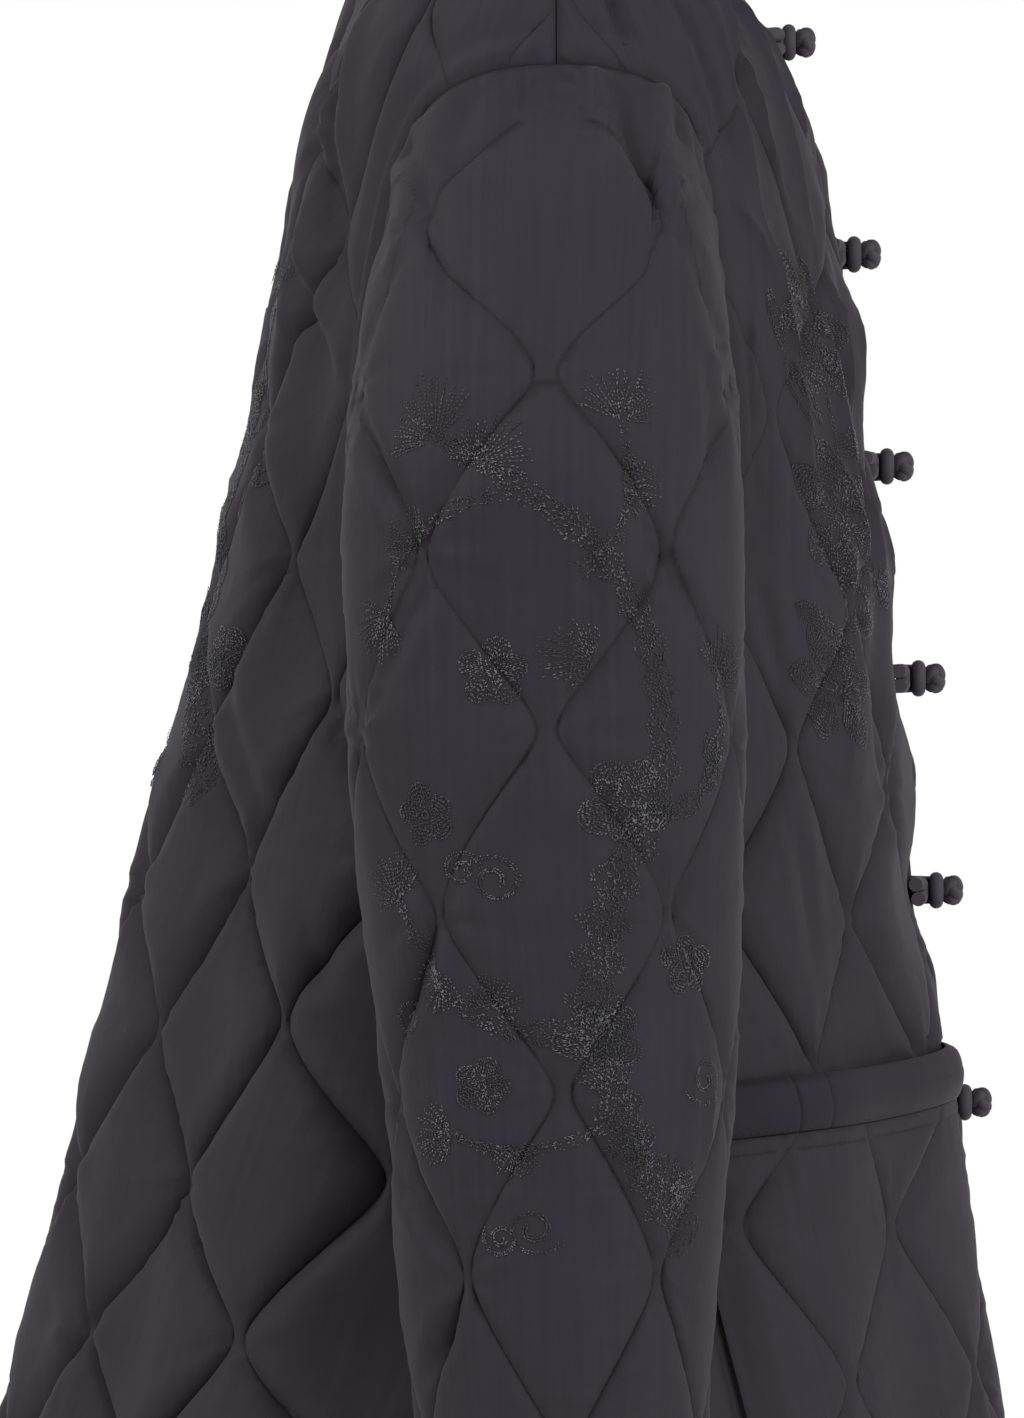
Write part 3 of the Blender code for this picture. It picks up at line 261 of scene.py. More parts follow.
# Creases: a bent line through a first, a middle and a last place, with its half width and height or depth.
# A crease that starts in a seam has its full depth there. A narrow ridge is sharp, a wide one soft.
SOFT_RIDGE = 0.006
RIDGE_ROUND = 0.04
CREASE_SHOULDER = 0.32
CREASE_SHOULDER_AT = 2.1
CREASE_START = 3.0
CREASE_FINISH = 2.2
Crease = namedtuple("Crease", "x1 y1 x2 y2 x3 y3 width height from_seam", defaults=(False,))
SLEEVE_CREASES = rows_of(Crease, (
    (0.021, 0.618, 0.024, 0.565, 0.045, 0.52, 0.0038, -0.0058, True),
    (0.01, 0.616, 0.014, 0.566, 0.034, 0.52, 0.0065, 0.003, True),
    (0.031, 0.616, 0.036, 0.566, 0.058, 0.526, 0.0065, 0.0036, True),
    (0.037, 0.618, 0.039, 0.592, 0.045, 0.576, 0.0028, -0.0024, True),
    (0.047, 0.618, 0.051, 0.596, 0.058, 0.584, 0.0028, -0.0022, True),
    (0.003, 0.618, 0.008, 0.585, 0.014, 0.556, 0.0034, -0.0032, True),
    (-0.006, 0.618, -0.007, 0.597, -0.01, 0.578, 0.0034, -0.0018, True),
    (-0.02, 0.618, -0.024, 0.59, -0.028, 0.556, 0.005, -0.002, True),
    (-0.05, 0.6, -0.043, 0.56, -0.034, 0.512, 0.0045, -0.0028, True),
    (-0.072, 0.6, -0.07, 0.56, -0.066, 0.5, 0.007, -0.002, True),
    (0.027, 0.412, 0.041, 0.395, 0.061, 0.372, 0.0048, -0.0032),
    (-0.087, 0.467, -0.066, 0.436, -0.04, 0.4, 0.0045, -0.003),
    (-0.039, 0.387, -0.055, 0.367, -0.073, 0.337, 0.0045, -0.0026),
    (0.012, 0.4, 0.013, 0.387, 0.013, 0.374, 0.0035, -0.0014),
    (0.017, 0.492, 0.021, 0.468, 0.016, 0.444, 0.006, -0.0014),
    (0.061, 0.489, 0.069, 0.455, 0.063, 0.414, 0.006, -0.002),
    (-0.043, 0.269, -0.058, 0.23, -0.083, 0.208, 0.005, -0.0028),
    (-0.09, 0.15, -0.065, 0.129, -0.046, 0.102, 0.005, -0.0028),
    (-0.051, 0.091, -0.065, 0.069, -0.095, 0.048, 0.005, -0.0028),
    (0.052, 0.215, 0.057, 0.181, 0.06, 0.129, 0.0034, 0.0026),
    (0.064, 0.211, 0.069, 0.172, 0.069, 0.132, 0.0034, 0.0026),
    (0.049, 0.129, 0.051, 0.096, 0.081, 0.051, 0.004, 0.0022),
    (0.15, 0.48, 0.17, 0.44, 0.205, 0.41, 0.006, -0.0028),
    (-0.15, 0.47, -0.17, 0.43, -0.2, 0.405, 0.006, -0.0028),
    (0.16, 0.34, 0.19, 0.32, 0.215, 0.312, 0.0055, -0.0022),
))
FRONT_CREASES = rows_of(Crease, (
    (0.25, 0.575, 0.252, 0.555, 0.254, 0.54, 0.0036, -0.0044, True),
    (0.214, 0.585, 0.206, 0.554, 0.198, 0.53, 0.0034, -0.0026, True),
    (0.206, 0.6, 0.193, 0.558, 0.189, 0.51, 0.003, 0.0047, True),
    (0.168, 0.615, 0.172, 0.567, 0.143, 0.51, 0.0032, 0.0049, True),
    (0.14, 0.625, 0.146, 0.572, 0.137, 0.526, 0.003, 0.0047, True),
    (0.1, 0.64, 0.108, 0.59, 0.112, 0.536, 0.0032, 0.0047, True),
    (0.072, 0.548, 0.081, 0.521, 0.084, 0.49, 0.0032, 0.0036),
    (0.126, 0.54, 0.128, 0.495, 0.104, 0.45, 0.0032, 0.0047),
    (0.144, 0.53, 0.143, 0.47, 0.122, 0.416, 0.0032, 0.0049),
    (0.19, 0.526, 0.179, 0.482, 0.16, 0.4, 0.0034, 0.0055),
    (0.217, 0.52, 0.191, 0.508, 0.195, 0.48, 0.0032, 0.0036),
    (0.195, 0.49, 0.207, 0.451, 0.196, 0.408, 0.0034, 0.0047),
    (0.155, 0.45, 0.136, 0.422, 0.106, 0.37, 0.0034, 0.0049),
    (0.114, 0.464, 0.102, 0.44, 0.1, 0.388, 0.0032, 0.0039),
    (0.062, 0.463, 0.042, 0.428, 0.036, 0.391, 0.0034, 0.0031),
    (0.155, 0.366, 0.153, 0.334, 0.155, 0.301, 0.0043, 0.0029),
    (0.202, 0.385, 0.196, 0.356, 0.19, 0.327, 0.0045, -0.0022),
    (0.132, 0.346, 0.11, 0.315, 0.078, 0.283, 0.005, -0.0022),
    (0.2, 0.3, 0.19, 0.26, 0.196, 0.215, 0.0055, -0.002),
))
BACK_CREASES = rows_of(Crease, (
    (0.1, 0.575, 0.136, 0.519, 0.2, 0.44, 0.005, -0.0058),
    (0.121, 0.557, 0.151, 0.507, 0.204, 0.446, 0.0055, 0.0058),
    (0.135, 0.6, 0.139, 0.56, 0.159, 0.525, 0.006, -0.0066, True),
    (0.137, 0.625, 0.136, 0.602, 0.141, 0.582, 0.005, -0.0044, True),
    (0.199, 0.337, 0.211, 0.323, 0.221, 0.311, 0.0055, -0.0034),
    (0.121, 0.369, 0.155, 0.318, 0.191, 0.277, 0.005, -0.0022),
    (0.217, 0.255, 0.235, 0.23, 0.25, 0.21, 0.005, -0.0026),
    (-0.13, 0.62, -0.138, 0.58, -0.15, 0.51, 0.006, -0.004, True),
    (-0.106, 0.57, -0.14, 0.51, -0.196, 0.436, 0.005, -0.0048),
    (-0.125, 0.552, -0.156, 0.5, -0.204, 0.44, 0.005, 0.0036),
    (-0.13, 0.36, -0.16, 0.312, -0.2, 0.28, 0.005, -0.0022),
    (0.05, 0.56, 0.04, 0.5, 0.046, 0.43, 0.008, 0.0016),
    (-0.04, 0.53, -0.052, 0.47, -0.044, 0.4, 0.008, 0.0016),
))

# Stand collar: its height and its lean outwards at the front, side and back
Stand = namedtuple("Stand", "height lean")
COLLAR_STANDS = rows_of(Stand, (
    (0.034, math.radians(20)),
    (0.036, math.radians(-6)),
    (0.038, math.radians(-10)),
))

# Sewing
STITCH_PITCH = 0.0034
STITCH_LENGTH = 0.0027
STITCH_WIDTH = 0.00055
STITCH_FLAT = STITCH_WIDTH * 0.8
STITCH_SINK = 0.0001

# Embroidery, of own design: places and sizes on each panel, turned anticlockwise from straight up, in degrees
Stem = namedtuple("Stem", "x1 y1 x2 y2 x3 y3")
Branch = namedtuple("Branch", "x1 y1 x2 y2 x3 y3 thick thin")
Flower = namedtuple("Flower", "x y size turn petals width", defaults=(5, 0.42))
Leaf = namedtuple("Leaf", "x y length turn")
Tuft = namedtuple("Tuft", "x y size turn")
Scroll = namedtuple("Scroll", "x y size turn hand")
THREAD_WIDTH = 0.00050
THREAD_LIFT = 0.00022
SHORT_STITCH = 0.0016
BARK_DENSITY = 900000
BARK_STEP = 0.0004
BARK_GNARL = 0.017
ROPE_STEP = 0.0011
STEM_HALF = 0.0013
SCROLL_HALF = 0.0011
LEAF_STEP = 0.0009
NEEDLES = 34
SLEEVE_BRANCHES = rows_of(Branch, (
    (0.062, 0.116, 0.014, 0.196, 0.028, 0.288, 0.02, 0.016),
    (0.028, 0.284, 0.034, 0.366, -0.036, 0.44, 0.016, 0.007),
    (0.02, 0.214, -0.03, 0.216, -0.062, 0.268, 0.012, 0.005),
    (0.026, 0.3, 0.062, 0.312, 0.072, 0.356, 0.01, 0.0045),
    (0.008, 0.388, 0.026, 0.412, 0.022, 0.446, 0.006, 0.003),
    (-0.012, 0.416, -0.046, 0.404, -0.062, 0.376, 0.006, 0.003),
    (0.026, 0.176, -0.012, 0.158, -0.046, 0.166, 0.007, 0.0035),
))
BACK_BRANCHES = rows_of(Branch, (
    (0.124, 0.306, 0.078, 0.38, 0.078, 0.452, 0.019, 0.013),
    (0.078, 0.448, 0.08, 0.508, 0.036, 0.56, 0.013, 0.005),
    (0.088, 0.384, 0.05, 0.398, 0.02, 0.372, 0.01, 0.0036),
    (0.078, 0.45, 0.104, 0.486, 0.108, 0.52, 0.006, 0.003),
))
SLEEVE_TUFTS = rows_of(Tuft, (
    (-0.036, 0.438, 0.026, 25),
    (-0.02, 0.428, 0.02, -45),
    (0.022, 0.444, 0.022, -12),
    (0.024, 0.42, 0.016, -85),
    (-0.062, 0.378, 0.021, 135),
    (-0.046, 0.4, 0.017, 40),
    (0.072, 0.354, 0.022, -15),
    (0.06, 0.322, 0.017, -85),
    (0.014, 0.356, 0.018, 70),
    (-0.062, 0.266, 0.023, 25),
    (-0.044, 0.232, 0.018, 110),
    (-0.024, 0.218, 0.016, -15),
    (-0.046, 0.166, 0.021, 95),
    (-0.016, 0.16, 0.017, 175),
    (0.046, 0.14, 0.02, -85),
    (0.034, 0.16, 0.018, 115),
))
BACK_TUFTS = rows_of(Tuft, (
    (0.036, 0.56, 0.024, 30),
    (0.056, 0.54, 0.018, -40),
    (0.108, 0.52, 0.022, -10),
    (0.098, 0.488, 0.017, -80),
    (0.02, 0.372, 0.022, 100),
    (0.046, 0.394, 0.018, 30),
    (0.076, 0.43, 0.018, 80),
    (0.11, 0.33, 0.02, -70),
    (0.096, 0.356, 0.018, 70),
))
SLEEVE_FLOWERS = rows_of(Flower, (
    (0.026, 0.304, 0.019, -30),
    (-0.016, 0.352, 0.013, -5),
    (0.014, 0.206, 0.017, 30),
    (0.052, 0.238, 0.014, 0),
    (-0.03, 0.186, 0.013, -20),
    (-0.044, 0.3, 0.013, -60),
))
SLEEVE_SCROLLS = rows_of(Scroll, (
    (-0.018, 0.272, 0.012, -200, -1),
    (-0.031, 0.277, 0.009, -20, 1),
    (0.062, 0.19, 0.012, -150, 1),
    (-0.01, 0.122, 0.012, -30, -1),
    (-0.024, 0.118, 0.009, -210, 1),
    (-0.066, 0.216, 0.01, -100, -1),
))
FRONT_STEMS = rows_of(Stem, (
    (0.158, 0.34, 0.146, 0.42, 0.16, 0.5),
    (0.152, 0.386, 0.13, 0.4, 0.112, 0.404),
    (0.152, 0.44, 0.172, 0.45, 0.184, 0.468),
))
FRONT_FLOWERS = rows_of(Flower, (
    (0.158, 0.494, 0.032, 8, 6, 0.3),
    (0.15, 0.418, 0.031, -14, 6, 0.3),
    (0.162, 0.346, 0.027, 24, 6, 0.3),
    (0.11, 0.402, 0.014, 60, 5, 0.34),
))
FRONT_LEAVES = rows_of(Leaf, (
    (0.152, 0.446, 0.034, 62),
    (0.156, 0.454, 0.03, -58),
    (0.15, 0.372, 0.034, 70),
    (0.156, 0.368, 0.028, -80),
    (0.184, 0.47, 0.024, -20),
    (0.136, 0.396, 0.022, 120),
))
BACK_FLOWERS = rows_of(Flower, (
    (0.074, 0.486, 0.018, 30),
    (0.084, 0.404, 0.02, 0),
    (0.122, 0.366, 0.015, 20),
    (0.046, 0.44, 0.013, 10),
    (0.02, 0.53, 0.014, 50),
))
BACK_SCROLLS = rows_of(Scroll, (
    (0.11, 0.44, 0.014, 0, 1),
    (0.126, 0.446, 0.01, 180, -1),
    (0.04, 0.33, 0.014, 60, -1),
    (0.056, 0.324, 0.01, 240, 1),
))

# Camera: looks level along +X at the wearer's right side
CAMERA_PLACE = (-4.0, 0.018, -0.3627)
CAMERA_LENS = 236.0
FLOOR_Z = -1.25
FLOOR_RADIUS = 4.4
FLOOR_SIDES = 96
LAMP_WIDTH = 1.6
LAMP_AIM = Vector((0.0, 0.0, -0.4))


def unit(vectors):
    """Vectors of length one."""
    return vectors / np.maximum(np.linalg.norm(vectors, axis=-1, keepdims=True), 1e-12)


def ease(value):
    """Smooth step from 0 to 1."""
    value = np.clip(value, 0.0, 1.0)
    return value * value * (3.0 - 2.0 * value)


def columns(*values):
    """Places or points from their columns, any of which may be one value for all."""
    return np.stack(np.broadcast_arrays(*values), axis=1)


def curved(before, here, after, beyond, part):
    """A smooth (Catmull-Rom) curve from here to after."""
    bend = 2 * before - 5 * here + 4 * after - beyond + part * (3 * (here - after) + beyond - before)
    return here + 0.5 * part * (after - before + part * bend)


def through(rows, column, at):
    """A smooth curve through one column of a table, with at from 0 at the first row to 1 at the last."""
    values = np.array([getattr(row, column) for row in rows])
    ends = (2 * values[0] - values[1], 2 * values[-1] - values[-2])
    values = np.concatenate([ends[:1], values, ends[1:]])
    steps = len(rows) - 1
    place = np.clip(at, 0.0, 1.0) * steps
    row = np.minimum(place.astype(int), steps - 1)
    return curved(*[values[row + k] for k in range(4)], place - row)


def body_ring(turn, down):
    """Points of the body's inner face. turn is 0 at centre front, pi / 2 at the wearer's right."""
    side = np.sin(turn)
    ahead = np.cos(turn)
    front = ahead > 0
    reach = np.where(front, through(BODY_RINGS, "front_y", down), through(BODY_RINGS, "back_y", down))
    level = np.where(front, through(BODY_RINGS, "front_z", down), through(BODY_RINGS, "back_z", down))
    x = -through(BODY_RINGS, "side_x", down) * np.sign(side) * np.abs(side) ** ROUNDNESS
    y = reach * np.abs(ahead) ** ROUNDNESS
    z = through(BODY_RINGS, "side_z", down) * side**2 + level * ahead**2
    return np.stack([x, y, z], axis=-1)


def body_outward(turn, down):
    """Outward directions of the body's inner face."""
    near = 1e-3
    around = body_ring(turn + near, down) - body_ring(turn - near, down)
    fall = body_ring(turn, down + near) - body_ring(turn, down - near)
    return unit(np.cross(around, fall))


def lengths_along(points):
    """Length from the first point to each of the others, along the second last axis."""
    steps = np.linalg.norm(np.diff(points, axis=-2), axis=-1)
    return np.concatenate([np.zeros(steps.shape[:-1] + (1,)), np.cumsum(steps, axis=-1)], axis=-1)


def at_lengths(wanted, lengths, points):
    """Points at wanted lengths along a path."""
    return columns(*[np.interp(wanted, lengths, column) for column in points.T])


# Lengths of the body's form, worked out once: how far each section is below the neckline, how long a quarter
# of each section is, and how the angle grows with the length along a middle section.
DOWNS = np.linspace(0.0, 1.0, BODY_SAMPLES)
MERIDIANS = [body_ring(np.full_like(DOWNS, turn), DOWNS) for turn in (0.0, math.pi / 2, math.pi)]
FALLS = np.mean([lengths_along(points) for points in MERIDIANS], axis=0)
BODY_RISE = FALLS[-1]
FRONT_LEVELS = MERIDIANS[0][:, 2]
QUARTER_TURNS = np.linspace(0.0, math.pi / 2, QUARTER_SAMPLES)


def quarter_lengths(turns):
    """Length of each section over the given turns."""
    return np.array([lengths_along(body_ring(turns, np.full_like(turns, down)))[-1] for down in DOWNS])


HALVES = {"front": QUARTER_TURNS, "back": math.pi - QUARTER_TURNS}
QUARTERS = {half: quarter_lengths(turns) for half, turns in HALVES.items()}
MIDDLE_LENGTHS = {
    half: lengths_along(body_ring(turns, np.full_like(turns, MIDDLE_DOWN))) for half, turns in HALVES.items()}
TIP_DOWN = TIP_RING / (len(BODY_RINGS) - 1)
UNDERARM_DOWN = UNDERARM_RING / (len(BODY_RINGS) - 1)


def down_at(rise):
    """Share of the way from the neckline to the hem."""
    return np.interp(BODY_RISE - rise, FALLS, DOWNS)


def rise_at(down):
    """Rise at a share of the way down."""
    return BODY_RISE - np.interp(down, DOWNS, FALLS)


def rise_at_level(across, level):
    """Rises at which the front crosses levels, at lengths across from the centre front."""
    rises = rise_at(DOWNS)
    found = []
    for reach, height in zip(across, level):
        heights = body_ring(turn_at("front", np.full_like(rises, reach), rises), DOWNS)[:, 2]
        found.append(np.interp(-height, -heights, rises))
    return np.array(found)


def quarter_at(half, rise):
    """Length from the centre line to the side line at a rise."""
    return np.interp(down_at(rise), DOWNS, QUARTERS[half])


def spread_at(half, rise):
    """How far the quilting columns have fanned out with the flare."""
    narrowest = np.interp(UNDERARM_DOWN, DOWNS, QUARTERS[half])
    return np.maximum(1.0, quarter_at(half, rise) / narrowest)


def turn_at(half, across, rise):
    """Angle round the body of a place on a panel."""
    share = np.abs(across) / quarter_at(half, rise)
    middle = MIDDLE_LENGTHS[half]
    turn = np.interp(share, middle / middle[-1], QUARTER_TURNS)
    turn = turn + np.maximum(share - 1.0, 0.0)
    if half == "back":
        turn = math.pi - turn
    return np.where(across < 0, -turn, turn)


def fold_height(folds, across, rise):
    """Sum of the folds' heights at places on a panel."""
    total = np.zeros_like(rise)
    for fold in folds:
        part = (fold.high_rise - rise) / (fold.high_rise - fold.low_rise)
        middle = fold.high_across + part * (fold.low_across - fold.high_across)
        beside = np.clip((np.abs(across) - middle) / fold.half_width, -1.0, 1.0)
        ends = ease(part * FOLD_ENDS) * ease((1.0 - part) * FOLD_ENDS)
        total = total + fold.height * 0.5 * (1.0 + np.cos(math.pi * beside)) * ends
    return total


def edge_bow(across, rise):
    """The front edges bow outwards between the closures."""
    turns = (FROG_TOP_Z - np.interp(BODY_RISE - rise, FALLS, FRONT_LEVELS)) / FROG_SPACING
    below = (turns > 0).astype(float)
    return EDGE_BOW * below * np.sin(math.pi * turns) ** 2 * np.exp(-((across / EDGE_BOW_RUN) ** 2))


def on_body(half, places, height):
    """Points of a body panel at places (across, rise), moved out by height."""
    across, rise = places[:, 0], places[:, 1]
    turn = turn_at(half, across, rise)
    down = down_at(rise)
    if half == "front":
        bow = edge_bow(across, rise) * np.where(across < 0, LEFT_BOW, 1.0)
        extra = fold_height(FRONT_FOLDS, across, rise) + bow
    else:
        extra = fold_height(BACK_FOLDS, across, rise)
    return body_ring(turn, down) + body_outward(turn, down) * (height + extra)[:, None]


def on_front(places, height):
    return on_body("front", places, height)


def on_back(places, height):
    return on_body("back", places, height)


def quilt_line(number, rise, quilt):
    """Column position of a quilting line, in pitches: a wave with long slopes and tight turns."""
    swing = np.where(number % 2 == 0, quilt.swing, -quilt.swing) / math.asin(QUILT_POINT)
    angle = 2 * math.pi * (rise - quilt.start) / quilt.period
    return number + 0.5 + swing * np.arcsin(QUILT_POINT * np.cos(angle))


def nearest_line(column, rise, pitch, quilt):
    """Distance to the nearest quilting line, its number and the side on which the place lies."""
    base = np.floor(column).astype(int)
    nearest = np.full_like(column, 1.0)
    found = np.zeros_like(base)
    side = np.zeros_like(column)
    turn = 2 * math.pi / quilt.period
    angle = turn * (rise - quilt.start)
    slope = quilt.swing * pitch * turn * QUILT_POINT / math.asin(QUILT_POINT) * np.sin(angle)
    slope = slope / np.sqrt(1.0 - (QUILT_POINT * np.cos(angle)) ** 2)
    for step in (-2, -1, 0, 1):
        number = base + step
        line = quilt_line(number, rise, quilt)
        distance = np.abs(column - line) * pitch / np.sqrt(1.0 + slope**2)
        closer = distance < nearest
        nearest = np.where(closer, distance, nearest)
        found = np.where(closer, number, found)
        side = np.where(closer, np.sign(column - line), side)
    return nearest, found, side


def nearest_neck(column, rise, pitch, quilt):
    """Offset from the nearest neck, where two quilting lines almost meet, and two numbers that name it."""
    best = np.full_like(column, 1.0)
    away = [np.zeros_like(column) for _ in range(4)]
    base = np.round(column)
    for step in (-1, 0, 1):
        middle = base + step
        late = np.where(middle % 2 == 0, 0.5, 0.0)
        turn = np.round((rise - quilt.start) / quilt.period - late)
        across = (column - middle) * pitch
        up = rise - quilt.start - (turn + late) * quilt.period
        distance = np.hypot(across, up)
        closer = distance < best
        best = np.where(closer, distance, best)
        away = [np.where(closer, new, old) for new, old in zip((across, up, middle, turn), away)]
    return away


def hashed(first, second, seed):
    """A fixed number from 0 to 1 for each pair of whole numbers."""
    value = np.sin(first * 127.1 + second * 311.7 + seed * 74.7) * 43758.5453
    return value - np.floor(value)


def lumps(x, y, size, seed):
    """Smooth uneven lumps, about size across, mostly between -1 and 1."""
    rng = np.random.default_rng(seed)
    total = np.zeros_like(x)
    for _ in range(9):
        angle = rng.uniform(0.0, 2 * math.pi)
        length = size * rng.uniform(0.7, 1.6)
        phase = rng.uniform(0.0, 2 * math.pi)
        total += np.sin(2 * math.pi * (x * math.cos(angle) + y * math.sin(angle)) / length + phase)
    return total / 3.0


def from_path(path, places, closed):
    """Distance from places to a line through points."""
    begin = path if closed else path[:-1]
    finish = np.roll(path, -1, axis=0) if closed else path[1:]
    run = finish - begin
    size = np.maximum((run**2).sum(axis=1), 1e-12)
    found = []
    for first in range(0, len(places), BATCH):
        reach = places[first:first + BATCH, None, :] - begin[None, :, :]
        part = np.clip((reach * run).sum(axis=2) / size, 0.0, 1.0)
        found.append(np.linalg.norm(reach - part[:, :, None] * run, axis=2).min(axis=1))
    return np.concatenate(found) if found else np.zeros(0)


def inside(outline, places, margin):
    """True for places inside an outline and at least margin from it."""
    begin = outline
    finish = np.roll(outline, -1, axis=0)
    within = []
    for first in range(0, len(places), BATCH):
        x, y = places[first:first + BATCH, 0:1], places[first:first + BATCH, 1:2]
        spans = (begin[:, 1] > y) != (finish[:, 1] > y)
        rise = np.where(finish[:, 1] == begin[:, 1], 1e-12, finish[:, 1] - begin[:, 1])
        crossing = begin[:, 0] + (y - begin[:, 1]) / rise * (finish[:, 0] - begin[:, 0])
        within.append((spans & (x < crossing)).sum(axis=1) % 2 == 1)
    within = np.concatenate(within) if within else np.zeros(0, bool)
    if margin > 0:
        within &= from_path(outline, places, True) > margin
    return within


def loft(distance, filling):
    """Rise of the filling at a distance from the nearest sewn line."""
    part = np.clip(distance / filling.run, 0.0, 1.0)
    return filling.loft * (1.0 - (1.0 - part) ** 2) ** FILL_FULLNESS


def bent(stem, step):
    """Places along a line bent through its first, middle and last place."""
    first, middle, last = np.array([(stem.x1, stem.y1), (stem.x2, stem.y2), (stem.x3, stem.y3)])
    part = np.linspace(0.0, 1.0, max(3, int(np.linalg.norm(last - first) * 1.1 / step)))[:, None]
    bend = 2 * middle - (first + last) / 2
    return first * (1 - part) ** 2 + bend * 2 * part * (1 - part) + last * part**2


def crease_height(creases, places):
    """Sum of the creases' heights. A trough has a low rounded shoulder on both sides."""
    total = np.zeros(len(places))
    for crease in creases:
        path = bent(crease, CREST_STEP)
        reach = np.ptp(path, axis=0).max() / 2 + 5 * crease.width
        near = np.abs(places - path.mean(axis=0)).max(axis=1) < reach
        if not near.any():
            continue
        spots = places[near]
        gaps = np.linalg.norm(spots[:, None, :] - path[None, :, :], axis=2)
        along = gaps.argmin(axis=1) / (len(path) - 1)
        distance = from_path(path, spots, False) / crease.width
        fade = ease((1.0 - along) * CREASE_FINISH)
        if not crease.from_seam:
            fade = fade * ease(along * CREASE_START)
        if crease.height < 0:
            shoulder = np.exp(-((distance - CREASE_SHOULDER_AT) ** 2))
            profile = np.exp(-(distance**2)) - CREASE_SHOULDER * shoulder
        elif crease.width > SOFT_RIDGE:
            profile = np.exp(-(distance**2))
        else:
            profile = np.exp(-np.sqrt(distance**2 + RIDGE_ROUND))
        total[near] += crease.height * profile * fade
    return total


def quilted(places, column, rise, pitch, quilt, sewn, filling, fullness, seed):
    """Height of filled cloth: loft between lines, uneven filling, puckers along lines and pinched necks."""
    distance, number, side = nearest_line(column, rise, pitch, quilt)
    lump = lumps(places[:, 0], places[:, 1], LUMP_SIZE, seed)
    height = loft(np.minimum(distance, sewn), filling) * (1.0 + LUMP_SHARE * lump) * fullness
    calm = np.minimum(fullness, 1.0)
    height += (filling.base - WALL) * ease(sewn / BASE_RUN)
    tension = 0.65 + 0.35 * lumps(LINE_APART * number, rise, TENSION_SIZE, seed + 5)
    groove = filling.groove * tension * np.exp(-((distance / GROOVE_WIDTH) ** 2))
    height -= groove * ease(sewn / SEWN_RUN) * calm
    phase = 2 * math.pi * hashed(number, side, seed)
    ripple = np.zeros_like(height)
    for share, wave in enumerate(PUCKER_WAVES):
        ripple += np.sin(2 * math.pi * rise / wave + phase * (share + 1)) / (1.0 + 0.3 * share)
    uneven = 0.55 + 0.45 * lumps(places[:, 0], places[:, 1], UNEVEN_SIZE, seed + 1)
    near = distance / PUCKER_REACH
    clear = ease(sewn / CREASE_RUN) * calm
    height += PUCKER * ripple * uneven * near * np.exp(1.0 - near) * clear
    across, up, middle, turn = nearest_neck(column, rise, pitch, quilt)
    pinch = np.exp(-((across / NECK_WIDTH) ** 2) - (up / NECK_HEIGHT) ** 2)
    strength = 0.6 + 0.8 * hashed(middle, turn, seed + 2)
    height -= NECK_PINCH * strength * pinch * clear
    reach = np.hypot(across, up) / NECK_REACH
    angle = np.arctan2(up, across)
    spokes = np.cos(7 * angle + 6.3 * hashed(middle, turn, seed + 3))
    spokes += 0.6 * np.cos(12 * angle + 6.3 * hashed(turn, middle, seed + 4))
    height += NECK_CREASE * strength * spokes * reach * np.exp(1.0 - reach) * clear
    return np.maximum(height, 0.0)


def gathers(distance, along, seed):
    """Small gathers that leave a seam at right angles."""
    short, long = (2 * math.pi * along / wave for wave in GATHER_WAVES)
    wave = np.sin(short + seed) + 0.7 * np.sin(long + 2.0 * seed)
    near = np.maximum(distance, 0.0) / GATHER_REACH
    return GATHER * wave * near * np.exp(1.0 - near)


def steps_between(low, high, step):
    """Evenly spaced values from low up to, but not including, high."""
    count = max(1, int(round(abs(high - low) / step)))
    return low + (high - low) * np.arange(count) / count


def armhole_places(half, angles):
    """Places on the armhole edge, angle 0 at the shoulder and pi at the underarm."""
    tip = rise_at(TIP_DOWN)
    foot = rise_at(UNDERARM_DOWN)
    rise = (tip + foot) / 2 + (tip - foot) / 2 * np.cos(angles)
    width = ARMHOLE_FRONT if half == "front" else ARMHOLE_BACK
    bite = width * np.round(np.sin(angles), 12) ** ARMHOLE_SQUARE
    return columns(quarter_at(half, rise) - bite, rise)


def armhole_shares(half):
    """Angles round an armhole edge, and the share of its length up to each of them."""
    angles = math.pi * ease(np.linspace(0.0, 1.0, ARMHOLE_SAMPLES))
    places = armhole_places(half, angles)
    lengths = lengths_along(body_ring(turn_at(half, places[:, 0], places[:, 1]), down_at(places[:, 1])))
    return angles, lengths / lengths[-1]


ARMHOLES = {half: armhole_shares(half) for half in ("front", "back")}
ARMHOLE_SHARES = np.linspace(0.0, 1.0, ARMHOLE_STEPS + 1)


def armhole_angle(half, share):
    """Angle at a share of an armhole edge's length."""
    angles, shares = ARMHOLES[half]
    return np.interp(share, shares, angles)


def armhole_edge(half):
    """The armhole edge of the right half of a panel, from the underarm to the shoulder."""
    return armhole_places(half, armhole_angle(half, ARMHOLE_SHARES[::-1]))


def side_edge(half):
    """Right outline of a panel: up the side seam, round the armhole, along the shoulder."""
    rise = steps_between(0.0, rise_at(UNDERARM_DOWN), EDGE_STEP)
    seam = columns(quarter_at(half, rise) - SEAM_GAP / 2, rise)
    armhole = armhole_edge(half)
    armhole[[0, -1], 0] -= SEAM_GAP / 2
    rise = steps_between(rise_at(TIP_DOWN), BODY_RISE, EDGE_STEP)[1:]
    shoulder = columns(quarter_at(half, rise) - SEAM_GAP / 2, rise)
    return np.concatenate([seam, armhole, shoulder])


def neck_across(half):
    """Lengths from the centre line at which the neckline is divided, for the panels and the collar alike."""
    begin = BAND_WIDTH if half == "front" else 0.0
    return np.linspace(begin, quarter_at(half, BODY_RISE), NECK_STEPS + 1)


